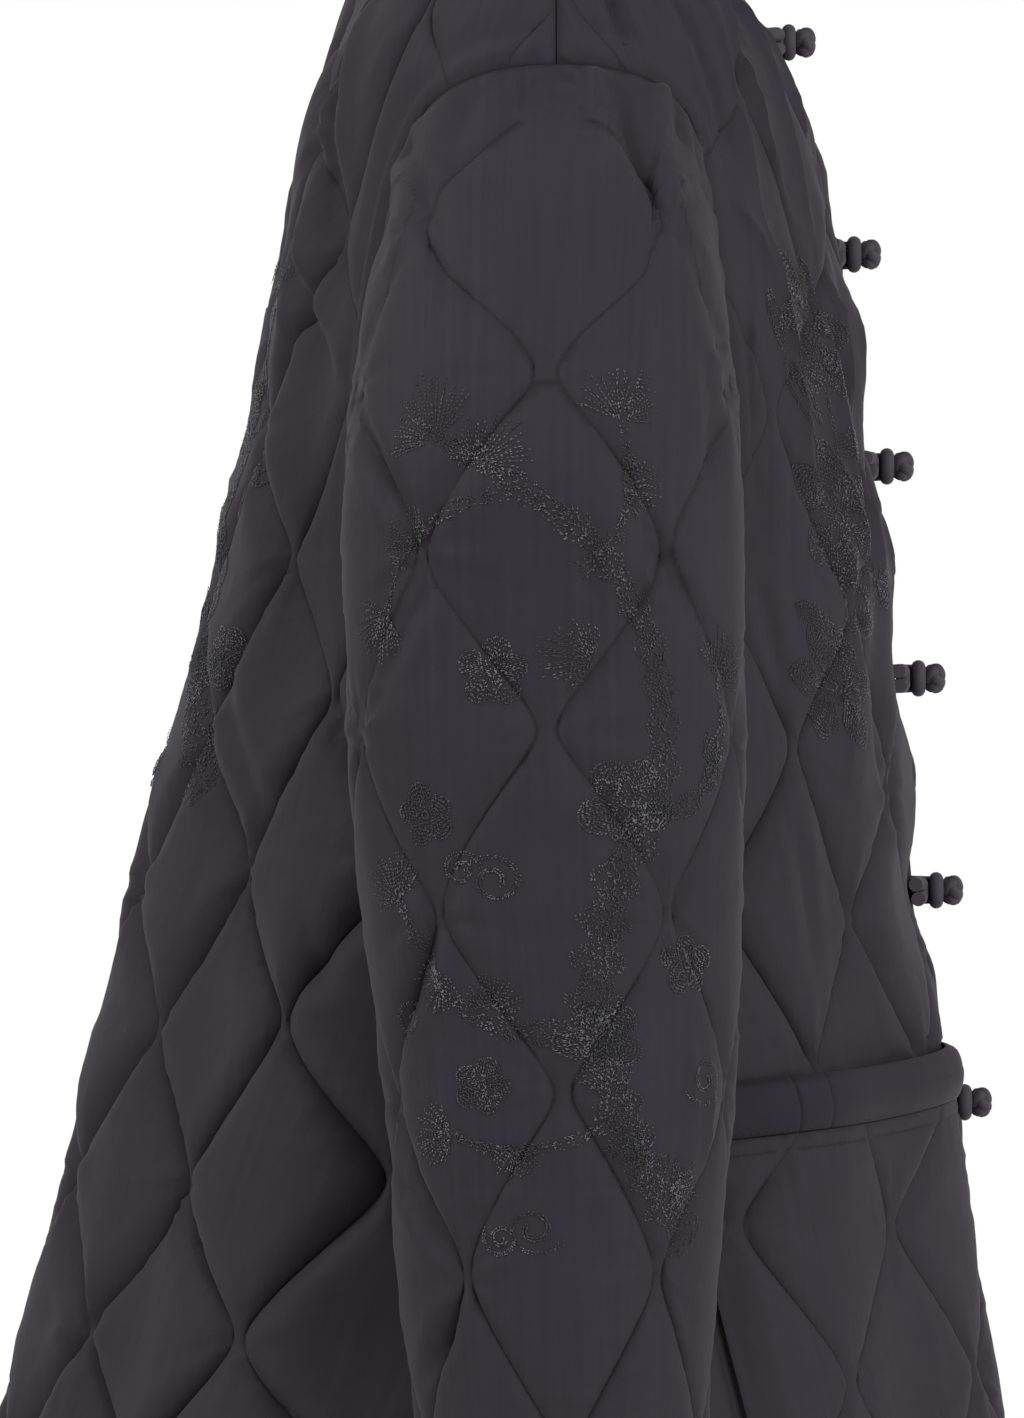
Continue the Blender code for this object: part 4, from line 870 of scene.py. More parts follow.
def neck_edge(half):
    """The neckline of a panel's right half, from the shoulder to the centre."""
    across = neck_across(half)[::-1].copy()
    across[0] -= SEAM_GAP / 2
    return columns(across, BODY_RISE)


def level_edge(begin, finish, rise):
    """Places along a level edge."""
    return columns(steps_between(begin, finish, EDGE_STEP), rise)


def pocket_head(across):
    """Rise of the pocket's mouth."""
    return POCKET_HEAD - POCKET_DROP * (np.abs(across) - POCKET_FRONT) / POCKET_WIDTH


POCKET_ACROSS = np.linspace(POCKET_FRONT, POCKET_FRONT + POCKET_WIDTH, POCKET_STEPS + 1)


def pocket_outline(below_head):
    """Outline of the patch on the right front, up to a distance below the pocket's mouth."""
    head = pocket_head(POCKET_ACROSS) - below_head
    foot = columns(POCKET_ACROSS, POCKET_FOOT)
    side = columns(POCKET_ACROSS[-1], steps_between(POCKET_FOOT, head[-1], EDGE_STEP)[1:])
    top = columns(POCKET_ACROSS, head)[::-1]
    edge = columns(POCKET_ACROSS[0], steps_between(head[0], POCKET_FOOT, EDGE_STEP)[1:])
    return np.concatenate([foot, side, top, edge])


POCKET_PATCH = pocket_outline(POCKET_BAND + SEAM_GAP / 2)
POCKET_SIDES = POCKET_ACROSS[[0, -1]]
POCKET_WHOLE = np.concatenate([
    columns(POCKET_SIDES, POCKET_FOOT), columns(POCKET_SIDES, pocket_head(POCKET_SIDES))[::-1]])


def half_turns(turn):
    """Angles brought between -pi and pi."""
    return (turn + math.pi) % (2 * math.pi) - math.pi


def armhole_loop(turn):
    """Where the right armhole's edge runs on the body. turn is 0 at the shoulder, pi at the underarm."""
    turn = half_turns(turn)
    around = np.zeros_like(turn)
    down = np.zeros_like(turn)
    for half, chosen in (("front", turn >= 0), ("back", turn < 0)):
        share = np.round(np.abs(turn[chosen]) / math.pi, 6)
        places = armhole_places(half, armhole_angle(half, share))
        around[chosen] = turn_at(half, places[:, 0], places[:, 1])
        down[chosen] = down_at(places[:, 1])
    return around, down


def sleeve_root(turn):
    """Points where a sleeve leaves the body, the way it leaves and the way through its wall there."""
    near = 1e-2
    around, down = armhole_loop(turn)
    outward = body_outward(around, down)
    tangent = body_ring(*armhole_loop(turn + near)) - body_ring(*armhole_loop(turn - near))
    into_hole = unit(np.cross(unit(tangent), outward))
    lean = SLEEVE_ANGLE_TOP + (SLEEVE_ANGLE_FOOT - SLEEVE_ANGLE_TOP) * (0.5 - 0.5 * np.cos(turn)) ** 2
    leaving = into_hole * np.cos(lean)[:, None] + outward * np.sin(lean)[:, None]
    across = outward * np.cos(lean)[:, None] - into_hole * np.sin(lean)[:, None]
    start = body_ring(around, down) + leaving * (WALL * np.sin(lean) + SEAM_GAP)[:, None]
    return start, leaving, across


def sleeve_section(section, turn):
    """Points of one sleeve section on the wearer's right."""
    inner = np.array([-section.inner_x, section.centre_y, section.inner_z])
    outer = np.array([-section.outer_x, section.centre_y, section.outer_z])
    ahead = np.cos(turn)
    side = np.sin(turn)
    middle = (inner + outer) / 2
    reach = (outer - inner) / 2
    ahead = np.sign(ahead) * np.abs(ahead) ** ROUNDNESS
    side = np.sign(side) * np.abs(side) ** ROUNDNESS
    return middle + ahead[:, None] * reach - side[:, None] * np.array([0.0, section.half_y, 0.0])


def sleeve_form(turn, along):
    """Points of the right sleeve's inner face. along is 0 at the armhole and 1 at the cuff."""
    start, leaving, _ = sleeve_root(turn)
    stations = [start] + [sleeve_section(section, turn) for section in SLEEVE_SECTIONS]
    knots = [0.0] + [section.along for section in SLEEVE_SECTIONS]
    run = np.linalg.norm(stations[1] - stations[0], axis=1, keepdims=True)
    chords = [(stations[n + 1] - stations[n]) / (knots[n + 1] - knots[n]) for n in range(len(knots) - 1)]
    slopes = [leaving * SLEEVE_SPRING * run / knots[1]] + chords[1:] + chords[-1:]
    points = np.zeros_like(start)
    for number in range(len(stations) - 1):
        width = knots[number + 1] - knots[number]
        part = (along - knots[number]) / width
        last = number == len(stations) - 2
        chosen = (part >= 0) & ((part < 1) | last) if number else (part < 1)
        step = part[chosen, None]
        begin, finish = stations[number][chosen], stations[number + 1][chosen]
        leave, arrive = slopes[number][chosen] * width, slopes[number + 1][chosen] * width
        points[chosen] = (
            begin * (2 * step**3 - 3 * step**2 + 1)
            + leave * (step**3 - 2 * step**2 + step)
            + finish * (3 * step**2 - 2 * step**3)
            + arrive * (step**3 - step**2)
        )
    return points


def sleeve_outward(turn, along):
    """Outward directions of the right sleeve's inner face."""
    near = 2e-3
    around = sleeve_form(turn + near, along) - sleeve_form(turn - near, along)
    fall = sleeve_form(turn, along + near) - sleeve_form(turn, np.maximum(along - near, 0.0))
    return unit(np.cross(fall, around))


def on_sleeve(places, height):
    """Points of the right sleeve at flat places, moved out by height. The first section lies on the seam."""
    turn = places[:, 0] * 2 * math.pi / SLEEVE_GIRTH
    along = 1.0 - places[:, 1] / SLEEVE_LENGTH
    outward = sleeve_outward(turn, along)
    _, _, across = sleeve_root(turn)
    at_seam = (1.0 - ease(along / SLEEVE_SEAM_SHARE))[:, None]
    outward = unit(outward * (1.0 - at_seam) + across * at_seam)
    return sleeve_form(turn, along) + outward * height[:, None]


LEFT = np.array([-1.0, 1.0, 1.0])


def on_left_sleeve(places, height):
    return on_sleeve(places, height) * LEFT


SLEEVE_PITCH = SLEEVE_GIRTH / SLEEVE_LINES
SLEEVE_COLUMNS = np.arange(-SLEEVE_LINES // 2, SLEEVE_LINES // 2 + 1)
SLEEVE_RISES = np.linspace(0.0, SLEEVE_LENGTH, SLEEVE_SAMPLES)


def true_rises():
    """True length up from the cuff, for each quilting column and each flat rise."""
    table = []
    for column in SLEEVE_COLUMNS:
        turn = np.full_like(SLEEVE_RISES, column * 2 * math.pi / SLEEVE_LINES)
        table.append(lengths_along(sleeve_form(turn, 1.0 - SLEEVE_RISES / SLEEVE_LENGTH)))
    return np.array(table)


SLEEVE_TRUE = true_rises()


def sleeve_true_rise(column, rise):
    """True length up from the cuff at a column position and a flat rise."""
    place = np.clip(column + SLEEVE_LINES // 2, 0.0, SLEEVE_LINES - 1e-6)
    left = place.astype(int)
    part = place - left
    row = np.clip(rise / SLEEVE_LENGTH, 0.0, 1.0) * (len(SLEEVE_RISES) - 1)
    low = np.minimum(row.astype(int), len(SLEEVE_RISES) - 2)
    step = row - low
    near = SLEEVE_TRUE[left, low] * (1 - step) + SLEEVE_TRUE[left, low + 1] * step
    far = SLEEVE_TRUE[left + 1, low] * (1 - step) + SLEEVE_TRUE[left + 1, low + 1] * step
    return near * (1 - part) + far * part


def body_column(half, places):
    """Quilting column of a place on a body panel, and the pitch there."""
    across = np.abs(places[:, 0]) if half == "front" else places[:, 0]
    pitch = QUILT_PITCH * spread_at(half, places[:, 1])
    return across / pitch - QUILTS[half].shift / QUILT_PITCH, pitch


def sleeve_column(places):
    """Quilting column of a place on a sleeve, its true rise and the pitch there."""
    column = places[:, 0] / SLEEVE_PITCH
    return column, sleeve_true_rise(column, places[:, 1]), np.full_like(column, SLEEVE_PITCH)


def body_lines(half, outline, numbers, side):
    """Quilting lines of a body panel inside its outline."""
    quilt = QUILTS[half]
    rises = np.arange(outline[:, 1].min(), outline[:, 1].max(), LINE_STEP)
    lines = []
    for number in range(numbers[0], numbers[1] + 1):
        across = (quilt_line(number, rises, quilt) * QUILT_PITCH + quilt.shift) * spread_at(half, rises)
        lines += runs_inside(outline, columns(side * across, rises), LINE_MARGIN)
    return lines


def sleeve_lines(outline):
    """Quilting lines of a sleeve, in flat places."""
    rises = np.arange(LINE_STEP, SLEEVE_LENGTH, LINE_STEP)
    lines = []
    for number in range(-SLEEVE_LINES // 2, SLEEVE_LINES // 2):
        true = sleeve_true_rise(np.full_like(rises, number + 0.5), rises)
        line = columns(quilt_line(number, true, SLEEVE_QUILT) * SLEEVE_PITCH, rises)
        cap = (np.abs(line[:, 0]) < CAP_WIDTH) & (rises > SLEEVE_LENGTH - CAP_CLEAR)
        lines += runs_inside(outline, line[~cap], LINE_MARGIN)
    return lines


def runs_inside(outline, line, margin, outside=None):
    """The stretches of a line that lie inside an outline, and clear of another."""
    kept = inside(outline, line, margin)
    if outside is not None:
        kept &= ~inside(outside, line, 0.0) & (from_path(outside, line, True) > margin)
    bounds = np.flatnonzero(np.diff(kept)) + 1
    runs = zip(np.split(line, bounds), np.split(kept, bounds))
    return [run for run, keep in runs if keep[0] and len(run) > 2]


def line_places(places, lines):
    """Numbers of the places that lie on sewn lines."""
    known = {(round(float(x), 5), round(float(y), 5)) for line in lines for x, y in line}
    return [n for n, (x, y) in enumerate(places) if (round(float(x), 5), round(float(y), 5)) in known]


def flat_triangles(outline, lines, fills):
    """Places and triangles of a flat piece, and the place of each outline corner."""
    places = [Vector(place) for place in outline]
    count = len(places)
    edges = [(number, (number + 1) % count) for number in range(count)]
    for line in lines:
        first = len(places)
        places += [Vector(place) for place in line]
        edges += [(first + step, first + step + 1) for step in range(len(line) - 1)]
    places += [Vector(place) for place in fills]
    verts, _, faces, sources, _, _ = delaunay_2d_cdt(places, edges, [], 1, 1e-7)
    corner = {}
    for number, source in enumerate(sources):
        for old in source:
            if old < count:
                corner[old] = number
    corners = np.array([corner[number] for number in range(count)])
    return np.array([tuple(vert) for vert in verts]), np.array(faces), corners


def even_places(outline, step, margin):
    """Places inside an outline, in offset rows."""
    low, high = outline.min(axis=0), outline.max(axis=0)
    rows = np.arange(low[1], high[1], step * math.sqrt(0.75))
    across, rise = np.meshgrid(np.arange(low[0], high[0], step), rows)
    across = across + (np.arange(len(rows)) % 2)[:, None] * step / 2
    places = columns(across.ravel(), rise.ravel())
    return places[inside(outline, places, margin)]


def new_piece(name, points, faces, uvs, material):
    """A closed mesh, its faces turned outwards, with flat places, in metres, as its UV map."""
    volume = np.einsum("ij,ij->", points[faces[:, 0]], np.cross(points[faces[:, 1]], points[faces[:, 2]]))
    if volume < 0:
        faces, uvs = faces[:, ::-1], uvs[:, ::-1]
    mesh = bpy.data.meshes.new(name)
    mesh.from_pydata(points.tolist(), [], faces.tolist())
    layer = mesh.uv_layers.new(name="cut")
    layer.data.foreach_set("uv", uvs.reshape(-1).astype(np.float32))
    mesh.materials.append(material)
    mesh.shade_smooth()
    mesh.set_sharp_from_angle(angle=SHARP_ANGLE)
    thing = bpy.data.objects.new(name, mesh)
    bpy.context.scene.collection.objects.link(thing)
    return thing


def along_and_aside(path):
    """Directions along a flat path, and a quarter turn anticlockwise from them."""
    along = unit(np.gradient(path, axis=0))
    return along, columns(-along[:, 1], along[:, 0])


def beside_line(line, distance):
    """A row of places at a distance beside a line of places."""
    return line + along_and_aside(line)[1] * distance


def cloth_shell(name, outline, lines, crests, clear_of_lines, spot, height_at, material,
                sewn_shut=None, painted_shade_rows=()):
    """A closed cloth shell over an outline. sewn_shut gives two rows of outline corners that are one seam,
    and the last argument the crests that are rows of stitches. The point attribute sewn is painted shade: it
    is 1 on the sewn lines, the outline corners and those rows, where the material draws the cloth darker."""
    fills = even_places(outline, CLOTH_STEP, CLOTH_STEP * 0.55)
    fills = fills[clear_of_lines(fills) > FLANK + CLOTH_STEP * 0.45]
    flanks = np.concatenate([beside_line(line, side * FLANK) for line in lines for side in (-1.0, 1.0)])
    flanks = flanks[clear_of_lines(flanks) > FLANK * 0.8]
    flanks = flanks[inside(outline, flanks, FLANK)]
    for path in crests:
        rows = np.concatenate([beside_line(path, side * FLANK) for side in (-1.0, 0.0, 1.0)])
        rows = rows[clear_of_lines(rows) > FLANK * 1.7]
        rows = rows[inside(outline, rows, FLANK * 1.5)]
        fills = np.concatenate([fills[from_path(path, fills, False) > FLANK * 1.9], rows])
    outer, outer_faces, outer_corner = flat_triangles(outline, lines, np.concatenate([fills, flanks]))
    inner_fills = even_places(outline, INNER_STEP, INNER_STEP / 3)
    inner, inner_faces, inner_corner = flat_triangles(outline, [], inner_fills)
    first = len(outer)
    points = np.concatenate([spot(outer, height_at(outer)), spot(inner, np.zeros(len(inner)))])
    # Painted shade: sewn lines, outline corners and stitched rows are marked 1, and the cloth is drawn darker
    # there
    painted_seam_shade = np.zeros(len(points))
    painted_seam_shade[line_places(outer, lines)] = 1.0
    painted_seam_shade[outer_corner] = 1.0
    for row in painted_shade_rows:
        painted_seam_shade[:first][from_path(row, outer, False) < FLANK * 0.3] = 1.0
    flat = np.concatenate([outer, inner])
    inner_corner = inner_corner + first
    after_outer, after_inner = np.roll(outer_corner, -1), np.roll(inner_corner, -1)
    rim = np.concatenate([
        columns(outer_corner, after_inner, after_outer),
        columns(outer_corner, inner_corner, after_inner),
    ])
    if sewn_shut is not None:
        keep = np.ones(len(outline), bool)
        keep[sewn_shut[2]] = False
        rim = rim[np.concatenate([keep, keep])]
    faces = np.concatenate([outer_faces, inner_faces[:, ::-1] + first, rim])
    uvs = flat[faces]
    if sewn_shut is not None:
        number = np.arange(len(points))
        for corner in (outer_corner, inner_corner):
            number[corner[sewn_shut[0]]] = corner[sewn_shut[1]]
        used, fresh = np.unique(number, return_inverse=True)
        points = points[used]
        painted_seam_shade = painted_seam_shade[used]
        faces = fresh[faces]
    piece = new_piece(name, points, faces, uvs, material)
    layer = piece.data.attributes.new("sewn", "FLOAT", "POINT")
    layer.data.foreach_set("value", painted_seam_shade.astype(np.float32))
    return piece


def swept_shell(name, sections, flats, material):
    """A closed shell through sections of equal count, with flat ends."""
    rows, count = len(sections), len(sections[0])
    points = np.concatenate(sections)
    flat = np.concatenate(flats)
    row, corner = np.meshgrid(np.arange(rows - 1), np.arange(count), indexing="ij")
    here = row * count + corner
    after = row * count + (corner + 1) % count
    quads = np.stack([here, after, after + count, here + count], axis=-1).reshape(-1, 4)
    faces = np.concatenate([quads[:, [0, 1, 2]], quads[:, [0, 2, 3]]])
    ends = []
    for first in (0, (rows - 1) * count):
        fan = [(first, first + step + 1, first + step) for step in range(1, count - 1)]
        ends.append(np.array(fan) if first == 0 else np.array(fan)[:, ::-1])
    faces = np.concatenate([faces] + ends)
    return new_piece(name, points, faces, flat[faces], material)


def tube_sections(path, radius, sides):
    """Sections of a round cord along a path, and their flat places: round and along the cord."""
    path = np.array(path)
    along = unit(np.gradient(path, axis=0))
    across = unit(np.cross(along[0], (0.31, 0.57, 0.76)))
    angles = np.arange(sides) * 2 * math.pi / sides
    lengths = lengths_along(path)
    sections, flats = [], []
    for point, ahead, length in zip(path, along, lengths):
        across = unit(across - ahead * np.dot(across, ahead))
        other = np.cross(ahead, across)
        ring = np.cos(angles)[:, None] * across + np.sin(angles)[:, None] * other
        sections.append(point + radius * ring)
        flats.append(columns(angles * radius, length))
    return sections, flats


def smooth_path(points, step):
    """A finer path through points, bent smoothly and evenly spaced."""
    points = np.array(points)
    ends = np.concatenate([[2 * points[0] - points[1]], points, [2 * points[-1] - points[-2]]])
    part = np.linspace(0.0, 1.0, 13)[:-1, None]
    rows = [curved(*ends[number:number + 4], part) for number in range(len(points) - 1)]
    dense = np.concatenate(rows + [points[-1:]])
    lengths = lengths_along(dense)
    even = np.linspace(0.0, lengths[-1], max(2, int(lengths[-1] / step)))
    return at_lengths(even, lengths, dense)


# Materials


def linear(code):
    """An sRGB hex colour as linear red, green, blue and alpha."""
    parts = [int(code[place:place + 2], 16) / 255 for place in (1, 3, 5)]
    return tuple(v / 12.92 if v <= 0.04045 else ((v + 0.055) / 1.055) ** 2.4 for v in parts) + (1.0,)


def add_node(tree, kind, settings=(), inputs=(), links=()):
    """A node with its settings, its input values and links from other sockets."""
    node = tree.nodes.new(kind)
    for name, value in dict(settings).items():
        setattr(node, name, value)
    for name, value in dict(inputs).items():
        node.inputs[name].default_value = value
    for name, socket in dict(links).items():
        tree.links.new(socket, node.inputs[name])
    return node


def new_material(name, finish):
    """A material and its shader, with the values of its finish on the shader's own sockets."""
    material = bpy.data.materials.new(name)
    material.use_nodes = True
    shader = material.node_tree.nodes["Principled BSDF"]
    for socket, value in finish.items():
        shader.inputs[socket].default_value = value
    return material, shader


# Scales of the patterns, in repeats to the metre: streaks of uneven yarn across and along, patches of wear,
# crinkles, the change of thread from stitch to stitch, which on the rayon is painted glint, and patches of
# darker
# thread, which on the rayon are painted shade. Streaks and weave are drawn coarser than real, so that they
# show:
# taffeta has about eight threads to the millimetre.
STREAK_SCALE = (420.0, 9.0, 1.0)
PATCH_SCALE = 14.0
CRINKLE_SCALE = 95.0
STITCH_SCALE = 800.0
THREAD_PATCH_SCALE = 55.0
# A wave texture at scale 1 has a band every 2 pi / 20 metres
WAVE_BAND = 2 * math.pi / 20


def cloth_material(name, dark, light, roughness, sheen, thread_mm, crinkle):
    """Taffeta: a plain weave of fine smooth yarn. Uneven yarns give faint streaks, the weave a soft sheen.
    Along the sewn lines and edges the colour is darkened: painted shade.
    """
    material, shader = new_material(name, {
        "Metallic": 0.0, "IOR": 1.46, "Specular IOR Level": 0.05,
        "Sheen Weight": sheen, "Sheen Roughness": 0.42})
    tree = material.node_tree
    flat = add_node(tree, "ShaderNodeUVMap", {"uv_map": "cut"})
    streaks = add_node(tree, "ShaderNodeMapping", {}, {"Scale": STREAK_SCALE}, {"Vector": flat.outputs["UV"]})
    slub = add_node(tree, "ShaderNodeTexNoise", {}, {"Scale": 1.0, "Detail": 3.0, "Roughness": 0.6},
                    {"Vector": streaks.outputs["Vector"]})
    cloud = add_node(tree, "ShaderNodeTexNoise", {}, {"Scale": PATCH_SCALE, "Detail": 4.0, "Roughness": 0.55},
                     {"Vector": flat.outputs["UV"]})
    both = add_node(tree, "ShaderNodeMix", {"data_type": "FLOAT"}, {"Factor": 0.45},
                    {"A": slub.outputs["Fac"], "B": cloud.outputs["Fac"]})
    tone = add_node(tree, "ShaderNodeMapRange", {}, {"From Min": 0.3, "From Max": 0.7},
                    {"Value": both.outputs["Result"]})
    colour = add_node(tree, "ShaderNodeMix", {"data_type": "RGBA"}, {6: linear(dark), 7: linear(light)},
                      {"Factor": tone.outputs["Result"]})
    # Painted shade: where the sewn attribute is 1 the colour falls to 60 %, as if the seams lay in shadow
    sewn = add_node(tree, "ShaderNodeAttribute", {"attribute_name": "sewn"})
    shade = add_node(tree, "ShaderNodeMapRange", {}, {"From Min": 0.4, "To Min": 1.0, "To Max": 0.6},
                     {"Value": sewn.outputs["Fac"]})
    painted_shade_colour = add_node(tree, "ShaderNodeVectorMath", {"operation": "SCALE"}, {},
                    {0: colour.outputs[2], "Scale": shade.outputs["Result"]})
    tree.links.new(painted_shade_colour.outputs["Vector"], shader.inputs["Base Color"])
    rough = add_node(tree, "ShaderNodeMapRange", {}, {"To Min": roughness - 0.06, "To Max": roughness + 0.06},
                     {"Value": cloud.outputs["Fac"]})
    tree.links.new(rough.outputs["Result"], shader.inputs["Roughness"])
    warp, weft = (
        add_node(tree, "ShaderNodeTexWave", {"bands_direction": way},
                 {"Scale": 1000.0 / thread_mm * WAVE_BAND, "Distortion": 0.4}, {"Vector": flat.outputs["UV"]})
        for way in ("X", "Y"))
    weave = add_node(tree, "ShaderNodeMath", {"operation": "MULTIPLY"}, {},
                     {0: warp.outputs["Fac"], 1: weft.outputs["Fac"]})
    fine = add_node(tree, "ShaderNodeBump", {}, {"Strength": 0.12, "Distance": 0.00012},
                    {"Height": weave.outputs["Value"]})
    wrinkle = add_node(tree, "ShaderNodeTexNoise", {},
                       {"Scale": CRINKLE_SCALE, "Detail": 3.0, "Roughness": 0.5, "Distortion": 0.6},
                       {"Vector": flat.outputs["UV"]})
    bump = add_node(tree, "ShaderNodeBump", {}, {"Strength": crinkle, "Distance": 0.0012},
                    {"Height": wrinkle.outputs["Fac"], "Normal": fine.outputs["Normal"]})
    tree.links.new(bump.outputs["Normal"], shader.inputs["Normal"])
    return material


def thread_material(name, dark, light, roughness, level, blend):
    """Thread: twisted smooth fibre, darker or lighter from stitch to stitch and darker in some patches. With
    a wide spread of colours, as on the rayon, the lighter stitches are painted glints and the darker patches
    painted shade.
    """
    material, shader = new_material(name, {"Roughness": roughness, "IOR": 1.52, "Specular IOR Level": level})
    tree = material.node_tree
    place = add_node(tree, "ShaderNodeTexCoord")
    stitch, area = (
        add_node(tree, "ShaderNodeTexNoise", {}, {"Scale": scale, "Detail": 1.0},
                 {"Vector": place.outputs["Object"]})
        for scale in (STITCH_SCALE, THREAD_PATCH_SCALE))
    # Stitch to stitch tone: on the rayon its light end is painted glint
    tone = add_node(tree, "ShaderNodeMapRange", {}, {"From Min": 0.52 - blend, "From Max": 0.52 + blend},
                    {"Value": stitch.outputs["Fac"]})
    # Darker patches: on the rayon these are painted shade, on the polyester a random change of tone
    patch_tone_and_shade = add_node(tree, "ShaderNodeMapRange", {}, {"From Min": 0.40, "From Max": 0.60, "To Min": 0.2},
                    {"Value": area.outputs["Fac"]})
    share = add_node(tree, "ShaderNodeMath", {"operation": "MULTIPLY"}, {},
                     {0: tone.outputs["Result"], 1: patch_tone_and_shade.outputs["Result"]})
    colour = add_node(tree, "ShaderNodeMix", {"data_type": "RGBA"}, {6: linear(dark), 7: linear(light)},
                      {"Factor": share.outputs["Value"]})
    tree.links.new(colour.outputs[2], shader.inputs["Base Color"])
    return material


# Closely woven down-proof taffeta: almost black, dull, with a faint sheen
SHELL_CLOTH = cloth_material("down_proof_taffeta", "#17151a", "#1d1b20", 0.66, 0.02, 0.5, 0.26)
# The same taffeta, plain and turned under: smoother
TRIM_CLOTH = cloth_material("trim_taffeta", "#151218", "#18151b", 0.64, 0.02, 0.5, 0.10)
# Taffeta cut on the bias and sewn into cord, coloured paler than the shell cloth
CORD_CLOTH = cloth_material("bias_cut_cord_cloth", "#27252a", "#2d2a2f", 0.60, 0.03, 0.45, 0.08)
# Spun polyester: dull and a little darker than the cloth
SEWING_THREAD = thread_material("polyester_sewing_thread", "#0f0e11", "#161518", 0.55, 0.15, 0.2)
# Filament rayon: black and glossy. The lighter colour of some stitches is painted glint, on top of the real
# gloss, and its darker patches are painted shade
RAYON_THREAD = thread_material("black_rayon_embroidery_thread", "#09090b", "#46444b", 0.32, 0.3, 0.06)


# Stitches


def stitch_tree():
    """Geometry Nodes: one small rounded stitch on each point, turned and sized by its own attributes."""
    tree = bpy.data.node_groups.new("sewn_stitches", "GeometryNodeTree")
    sockets = {"Geometry": "Geometry", "Width": "Float", "Thickness": "Float", "Thread": "Material"}
    for name, kind in sockets.items():
        tree.interface.new_socket(name, in_out="INPUT", socket_type="NodeSocket" + kind)
    tree.interface.new_socket("Geometry", in_out="OUTPUT", socket_type="NodeSocketGeometry")
    given = add_node(tree, "NodeGroupInput")
    grain = add_node(tree, "GeometryNodeMeshUVSphere", {}, {"Segments": 5, "Rings": 2, "Radius": 0.5})
    turn = add_node(tree, "GeometryNodeInputNamedAttribute", {"data_type": "FLOAT_VECTOR"}, {"Name": "turn"})
    turned = add_node(tree, "FunctionNodeEulerToRotation", {}, {}, {"Euler": turn.outputs["Attribute"]})
    length = add_node(tree, "GeometryNodeInputNamedAttribute", {"data_type": "FLOAT"}, {"Name": "length"})
    size = add_node(tree, "ShaderNodeCombineXYZ", {}, {}, {
        "X": given.outputs["Thickness"], "Y": given.outputs["Width"], "Z": length.outputs["Attribute"]})
    made = add_node(tree, "GeometryNodeInstanceOnPoints", {}, {}, {
        "Points": given.outputs["Geometry"], "Instance": grain.outputs["Mesh"],
        "Rotation": turned.outputs["Rotation"], "Scale": size.outputs["Vector"]})
    real = add_node(tree, "GeometryNodeRealizeInstances", {}, {}, {"Geometry": made.outputs["Instances"]})
    smooth = add_node(tree, "GeometryNodeSetShadeSmooth", {}, {}, {"Geometry": real.outputs["Geometry"]})
    painted = add_node(tree, "GeometryNodeSetMaterial", {}, {}, {
        "Geometry": smooth.outputs["Geometry"], "Material": given.outputs["Thread"]})
    add_node(tree, "NodeGroupOutput", {}, {}, {"Geometry": painted.outputs["Geometry"]})
    return tree


STITCHES = stitch_tree()


def euler_of(outward, along):
    """Euler angles that turn x to outward and z to along."""
    across = unit(np.cross(along, outward))
    outward = np.cross(across, along)
    matrix = np.stack([outward, across, along], axis=-1)
    x = np.arctan2(matrix[:, 2, 1], matrix[:, 2, 2])
    y = -np.arcsin(np.clip(matrix[:, 2, 0], -1.0, 1.0))
    z = np.arctan2(matrix[:, 1, 0], matrix[:, 0, 0])
    return columns(x, y, z)


def sew(name, begins, ends, outward, width, thickness, thread):
    """One mesh of stitches between pairs of points, lying flat to the cloth."""
    mesh = bpy.data.meshes.new(name)
    mesh.from_pydata(((begins + ends) / 2).tolist(), [], [])
    run = ends - begins
    turn = mesh.attributes.new("turn", "FLOAT_VECTOR", "POINT")
    turn.data.foreach_set("vector", euler_of(outward, unit(run)).reshape(-1).astype(np.float32))
    length = mesh.attributes.new("length", "FLOAT", "POINT")
    length.data.foreach_set("value", np.linalg.norm(run, axis=1).astype(np.float32))
    thing = bpy.data.objects.new(name, mesh)
    bpy.context.scene.collection.objects.link(thing)
    modifier = thing.modifiers.new("stitches", "NODES")
    modifier.node_group = STITCHES
    values = {"Width": width, "Thickness": thickness, "Thread": thread}
    for item in STITCHES.interface.items_tree:
        if item.in_out == "INPUT" and item.name in values:
            modifier[item.identifier] = values[item.name]
    evaluated = thing.evaluated_get(bpy.context.evaluated_depsgraph_get())
    made = bpy.data.meshes.new_from_object(evaluated)
    thing.modifiers.remove(modifier)
    thing.data = made
    bpy.data.meshes.remove(mesh)
    made.name = name
    return thing


def stitch_rows(lines, spot, height_at, pitch, length, sink):
    """Begins, ends and outward directions of running stitches along lines of flat places."""
    begins, ends, outward = [], [], []
    for line in lines:
        height = height_at(line) - sink
        points = spot(line, height)
        above = spot(line, height + 0.001)
        lengths = lengths_along(points)
        if lengths[-1] < pitch:
            continue
        starts = np.arange(pitch / 2, lengths[-1] - length, pitch)
        begins.append(at_lengths(starts, lengths, points))
        ends.append(at_lengths(starts + length, lengths, points))
        outward.append(at_lengths(starts + length / 2, lengths, above - points))
    return np.concatenate(begins), np.concatenate(ends), unit(np.concatenate(outward))


def beside_edge(edge, distance):
    """A row of places at a distance inside an edge that runs up the right side of a panel."""
    return beside_line(edge, distance)[3:-3]


def ride_with(thing):
    """Puts a piece on the only body."""
    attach(thing, "root")
    return thing


def stand_for(piece, node):
    """Puts a piece in the place of its solid."""
    ride_with(piece)
    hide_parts(node)


def quilting_on(name, lines, spot, height_at):
    """Running stitches along a piece's sewn lines."""
    begins, ends, outward = stitch_rows(lines, spot, height_at, STITCH_PITCH, STITCH_LENGTH, STITCH_SINK)
    thing = sew("quilting_" + name, begins, ends, outward, STITCH_WIDTH, STITCH_FLAT, SEWING_THREAD)
    return ride_with(thing)


# Embroidery


